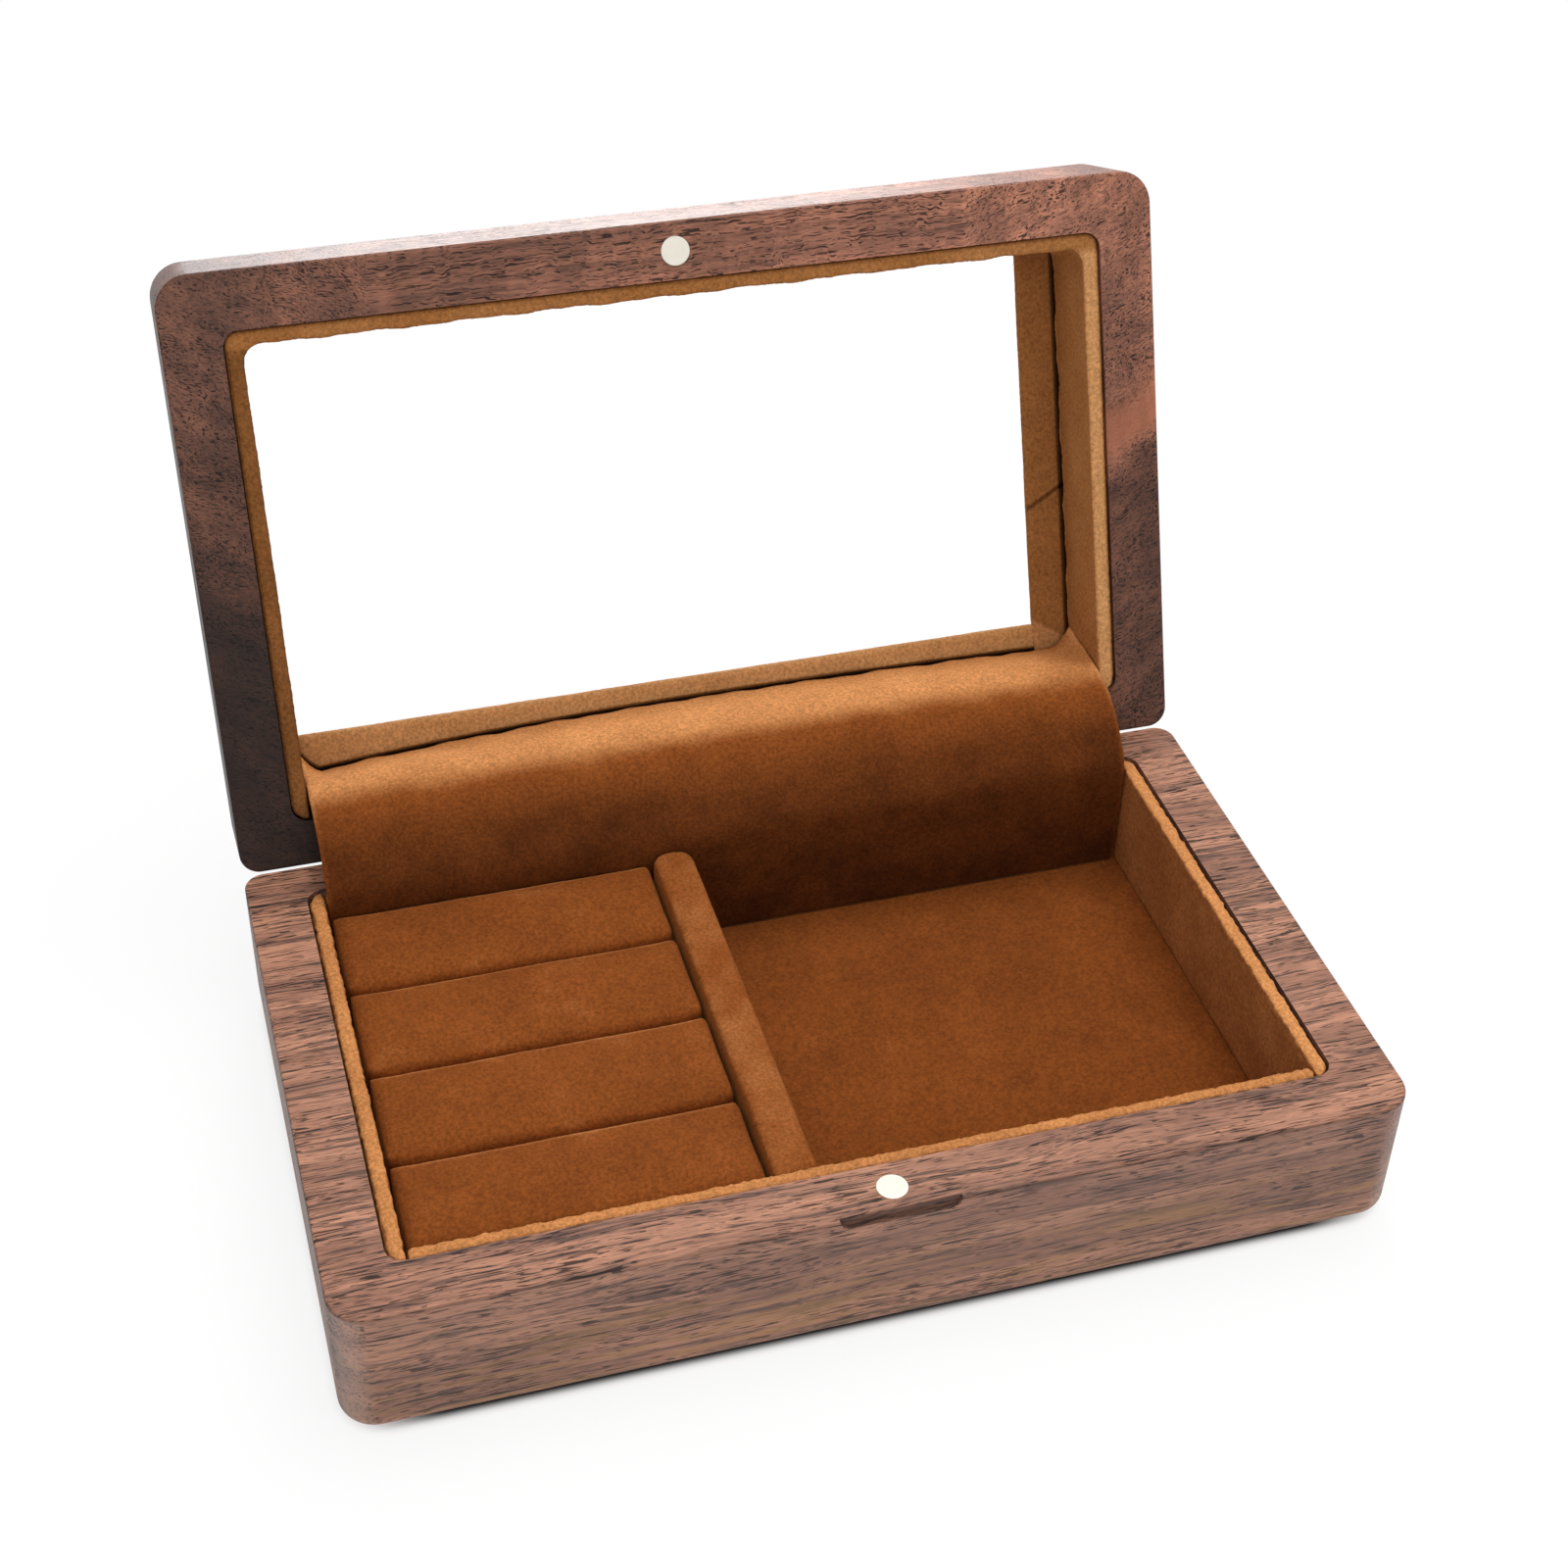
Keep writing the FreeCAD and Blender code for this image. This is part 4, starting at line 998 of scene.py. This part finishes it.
# %% [markdown]
# ## Nap of the lid's lining
# The rim and the loose edge of the band are fuzzy and paler, partly as painted light and sheen, its sides are
# painted darker towards the left as shade, and painted shade darkens a crease along the walnut. Each is a
# smooth step along one direction of the lid, added to the level.

# %% Lid band nap
FRONT_NAP = 0.30
FRONT_RIM_NAP = 0.24
WALNUT_CREASE_SHADE = 0.8


def lid_nap(place, normal):
    """Rim and loose edge painted pale, sides painted darker to the left, painted shade in the crease at the
    walnut.
    """
    height = height_on_lid(place)
    inside = (place - PIN).dot(into_lid)
    rim = ease(-normal.dot(into_lid), 0.3, 0.8)
    loose = ease(inside, left_high.z - PIN.z - LOOSE_EDGE, left_high.z - PIN.z - EDGE_GAP)
    to_right = ease(place.x, left_high.x, right_low.x)
    front = ease(height, PIN.y - front_high.y - MM, PIN.y - front_high.y)
    side_level = 0.02 + 0.50 * to_right + (0.14 + 0.26 * to_right) * rim + 0.36 * loose * to_right
    front_level = FRONT_NAP + FRONT_RIM_NAP * rim
    crease = max(ease(height, PIN.y - front_low.y - CREASE, PIN.y - front_low.y),
                 ease(abs(place.x), right_high.x - CREASE, right_high.x))
    return side_level + (front_level - side_level) * front - WALNUT_CREASE_SHADE * crease


brush_and_light(band, lid_velvet, lid_nap)
fit(band, "lid", "lid_lining_left", "lid_lining_right", "lid_lining_front")

# %% [markdown]
# ## The hidden board
# Behind the flap a plain covered board lines the back of the lid, and the flap is glued to it. It is made
# thinner than its solid, which leaves room for the flap's slack.

# %% Hidden board
FLAP_ROOM = 2.6 * MM
HIDDEN_NAP = 0.5

low, high = shut_box("lid_lining_back")
hidden_board = add_block("velvet_lid_lining_back", low + Vector((0, FLAP_ROOM, 0)), high)
make_cloth_skin(hidden_board, FINE_SKIN, 0.15 * MM, 0.1 * MM)
open_with_lid(hidden_board)
brush_and_light(hidden_board, lid_velvet, lambda place, normal: HIDDEN_NAP)
fit(hidden_board, "lid", "lid_lining_back")

# %% [markdown]
# ## The line of the seam
# The flap's end is glued along the lid, next to the strip that holds the glass. The seam isn't straight: it
# sits high in the middle, sags towards both sides and curls up in the corners. The strip and the flap both
# follow it, so it is one function of the place across the box.

# %% Seam
FLAP_THICKNESS = 1.2 * MM
GLUE = 0.1 * MM
SEAM_HIGH = 0.5 * MM
SEAM_SAG = {"left": 3.0 * MM, "right": 1.2 * MM}
SEAM_CURL = 4.0 * MM
CURL_START_SHARE = 0.95
half_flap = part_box("hinge_flap")[1].x
lid_face = PIN.y - shut_box("lid_lining_back")[0].y + GLUE + FLAP_THICKNESS


def seam_shift(across):
    """How far the flap's glued end lies above its straight line."""
    share = abs(across) / half_flap
    corner = max(0.0, (share - CURL_START_SHARE) / (1 - CURL_START_SHARE))
    return SEAM_HIGH - SEAM_SAG["left" if across < 0 else "right"] * share ** 2 + SEAM_CURL * corner ** 1.5


print("seam", round(seam_shift(0) / MM, 1), "mm high in the middle")

# %% [markdown]
# ## Creases of the strips
# The cloth on the strips shows how it was cut and folded, in painted light and shade: painted shade along a
# slanting crease where two ends meet, a paler patch of painted light past the mitre in the lower right
# corner, and lines of painted shade in the corner with the lining and behind the flap. Only the side that
# faces out of the lid has the dark ones, because they would show through the glass from behind.

# %% Strip naps
STRIP_CORNER = 0.7 * MM
CREASE_START = Vector((66.3, 40.7)) * MM
CREASE_SLOPE = 0.53
CREASE_WIDTH = (0.6 * MM, 0.1 * MM)
MITRE_START = Vector((68.0, 19.3)) * MM
MITRE_SLOPE = 0.68
MITRE_SOFT = 0.2 * MM
SEAM_SHADE = (0.5 * MM, -0.2 * MM)


def outward(normal):
    """1 on the side of a strip that faces out of the lid, 0 on the others."""
    return ease(-normal.dot(into_lid), 0.2, 0.6)


def back_strip_nap(place, normal):
    """A line of painted shade where the strip dips behind the end of the flap."""
    over_seam = height_on_lid(place) - lid_face - seam_shift(place.x)
    return 0.85 - 1.85 * ease(over_seam, *SEAM_SHADE) * outward(normal)


def side_strip_nap(place, normal):
    """Painted shade in the corner with the lining and along the crease, and painted light past the mitre."""
    height = height_on_lid(place)
    corner = ease(place.x, right_low.x - STRIP_CORNER, right_low.x)
    off_crease = height - CREASE_START.y - (place.x - CREASE_START.x) * CREASE_SLOPE
    past_mitre = MITRE_START.y - height - (place.x - MITRE_START.x) * MITRE_SLOPE
    strip_shade = 1.2 * corner + 0.8 * ease(abs(off_crease), *CREASE_WIDTH)
    return 0.42 + 0.30 * ease(past_mitre, -MITRE_SOFT, MITRE_SOFT) - strip_shade * outward(normal)


print("crease starts", [round(value / MM, 1) for value in CREASE_START], "mm across and up the lid")

# %% [markdown]
# ## Strips that hold the glass
# Velvet-covered strips press the pane against the lip of the lid. The right one and the one beside the hinge
# are wide and show; the other two hardly reach past the lining. The front and back ones lap under the side
# ones a little, so that no light comes through between them.

# %% Window strips
STRIP_LAP = 0.4 * MM
STRIP_SKIN = 0.4 * MM

for side in ("left", "right", "front", "back"):
    low, high = shut_box(f"window_bead_{side}")
    if side in ("front", "back"):
        low.x -= STRIP_LAP
        high.x += STRIP_LAP
    strip = add_block(f"velvet_window_strip_{side}", low, high)
    if side in ("left", "right"):
        outer = low.x if side == "left" else high.x
        round_edges(strip, POCKET_ROUND, lambda a, b: upright(a, b) and same(a.x, outer))
    make_cloth_skin(strip, STRIP_SKIN, 0.12 * MM, 0.15 * MM)
    open_with_lid(strip)
    brush_and_light(strip, lid_velvet, back_strip_nap if side == "back" else side_strip_nap)
    fit(strip, "lid", f"window_bead_{side}")

# %% [markdown]
# ## Path of the flap
# A velvet strip hides the hinges: it runs up the back of the base, bends over the rim, swings back in a long
# curve and is glued along the back of the lid. Its path is two arcs joined by a straight piece, and the
# straight piece is as long as it takes for the second arc to end on the lid's lining.

# %% Flap path
FLAP_BEND_DROP = 0.6 * MM
FLAP_BEND = 5.9 * MM + FLAP_THICKNESS
FLAP_CURVE = 17.0 * MM + FLAP_THICKNESS
FLAP_FIRST_TURN = math.radians(45)
FLAP_SEAM_GAP = 1.8 * MM


def lean(turn):
    """Direction of the strip after it has turned from upright towards the back."""
    return Vector((0, math.sin(turn), math.cos(turn)))


flap_low, flap_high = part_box("hinge_flap")
rim_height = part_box("base_block")[1].z
lid_end = shut_box("window_bead_back")[0].z - PIN.z - FLAP_SEAM_GAP

bend_start = Vector((0, flap_low.y, rim_height - FLAP_BEND_DROP))
bend_middle = bend_start + Vector((0, FLAP_BEND, 0))
bend_end = bend_middle - FLAP_BEND * lean(FLAP_FIRST_TURN + math.pi / 2)
to_middle = FLAP_CURVE * lean(FLAP_FIRST_TURN + math.pi / 2)
missing = lid_face - (bend_end + to_middle + FLAP_CURVE * up_lid - PIN).dot(up_lid)
straight = missing / math.sin(OPEN_ANGLE - FLAP_FIRST_TURN)
curve_middle = bend_end + lean(FLAP_FIRST_TURN) * straight + to_middle
curve_end = curve_middle + FLAP_CURVE * up_lid
print("flap: straight", round(straight / MM, 2), "mm between its bend and its long curve")

# %% [markdown]
# ## The flap over the hinges
# A flat grid is the lower part of the flap, and the rest grows from its top row: spin carries the row round a
# bend, and extrude carries it straight on. That makes even rows along the whole path, which a folded plane
# would not have, and its area gives the length to which the strip is cut.

# %% Flap
FLAP_ROW = 0.9 * MM
FLAP_COLUMNS = 165
FLAP_MERGE = 0.01 * MM


def grow_straight(direction, distance):
    """Extrudes the selected row of edges, a row of faces at a time."""
    steps = max(1, round(distance / FLAP_ROW))
    for _ in range(steps):
        bpy.ops.mesh.extrude_region_move(TRANSFORM_OT_translate={"value": direction * (distance / steps)})


def grow_round(middle, radius, turn):
    """Carries the selected row of edges round a bend that leans backwards."""
    steps = max(3, round(radius * turn / FLAP_ROW))
    bpy.ops.mesh.spin(steps=steps, angle=turn, center=middle, axis=(1, 0, 0))


upright_length = bend_start.z - flap_low.z
clear_selection()
bpy.ops.mesh.primitive_grid_add(
    x_subdivisions=FLAP_COLUMNS, y_subdivisions=round(upright_length / FLAP_ROW), size=1,
    rotation=(math.pi / 2, 0, 0), location=(0, flap_low.y, flap_low.z + upright_length / 2))
flap = bpy.context.object
flap.name = flap.data.name = "velvet_flap"
flap.scale = (flap_high.x - flap_low.x, upright_length, 1)
bpy.ops.object.transform_apply(location=True, rotation=True, scale=True)
select_edges(flap, lambda a, b: min(a.z, b.z) > bend_start.z - GLUE)
grow_round(bend_middle, FLAP_BEND, FLAP_FIRST_TURN)
grow_straight(lean(FLAP_FIRST_TURN), straight)
grow_round(curve_middle, FLAP_CURVE, OPEN_ANGLE - FLAP_FIRST_TURN)
grow_straight(into_lid, lid_end - (curve_end - PIN).dot(into_lid))
bpy.ops.mesh.select_all(action="SELECT")
bpy.ops.mesh.remove_doubles(threshold=FLAP_MERGE)
bpy.ops.object.mode_set(mode="OBJECT")

# %% [markdown]
# ## Slack in the flap
# The glued end follows the seam. Moving each row by a share that grows towards that end bows the seam without
# creasing the strip. A wall of cloth then gives the strip its thickness, before the noise of slack and pile.

# %% Flap seam
CREST_BACK = 6 * MM

crest_depth = (curve_end - PIN).dot(into_lid) - CREST_BACK
for vertex in flap.data.vertices:
    inside = (vertex.co - PIN).dot(into_lid)
    share = min(1.0, max(0.0, (inside - crest_depth) / (lid_end - crest_depth)))
    bow = up_lid * seam_shift(vertex.co.x) * share ** 1.5
    flutter = into_lid * EDGE_GAP * waver(vertex.co.x) * share ** 6
    vertex.co += bow + flutter

modify(flap, "SOLIDIFY", thickness=FLAP_THICKNESS, offset=-1.0)
ruffle(flap, 0.12 * MM, 0.30 * MM)
print("flap", len(flap.data.polygons), "faces")

# %% [markdown]
# ## Nap of the flap
# The nap is low on the face and rises towards the lid and along the cut sides: painted shade low on the
# face, and painted light and sheen over the slope, the crest and the cut edges.
# It is one sheet, laid on the linings at both ends.

# %% Flap nap
FACE_HEIGHTS = (8 * MM, 26 * MM)
SLOPE_DEPTHS = (42 * MM, 55 * MM)
CREST_DEPTHS = (52.5 * MM, 58.5 * MM)
CREST_FADE = 55 * MM
CUT_SIDE = (0.9 * MM, 0.3 * MM)


def flap_nap(place, normal):
    """Painted shade low on the face, painted light over the slope, the crest and the cut sides."""
    face = 0.05 + 0.10 * ease(place.z, *FACE_HEIGHTS)
    slope = 0.36 * ease(place.y, *SLOPE_DEPTHS)
    crest = 0.42 * ease(place.y, *CREST_DEPTHS) * (1.0 - 0.4 * ease(place.x, CREST_FADE, half_flap))
    side = ease(abs(place.x), half_flap - CUT_SIDE[0], half_flap - CUT_SIDE[1])
    return face + slope + crest + 0.25 * side


brush_and_light(flap, base_velvet, flap_nap)
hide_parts("hinge_flap")
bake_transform(flap)
print("flap brushed, blended from", [round(value / MM, 1) for value in bend_start], "mm to the lid")

# %% [markdown]
# ## Size
# The dressed box has to keep the size of the solids.
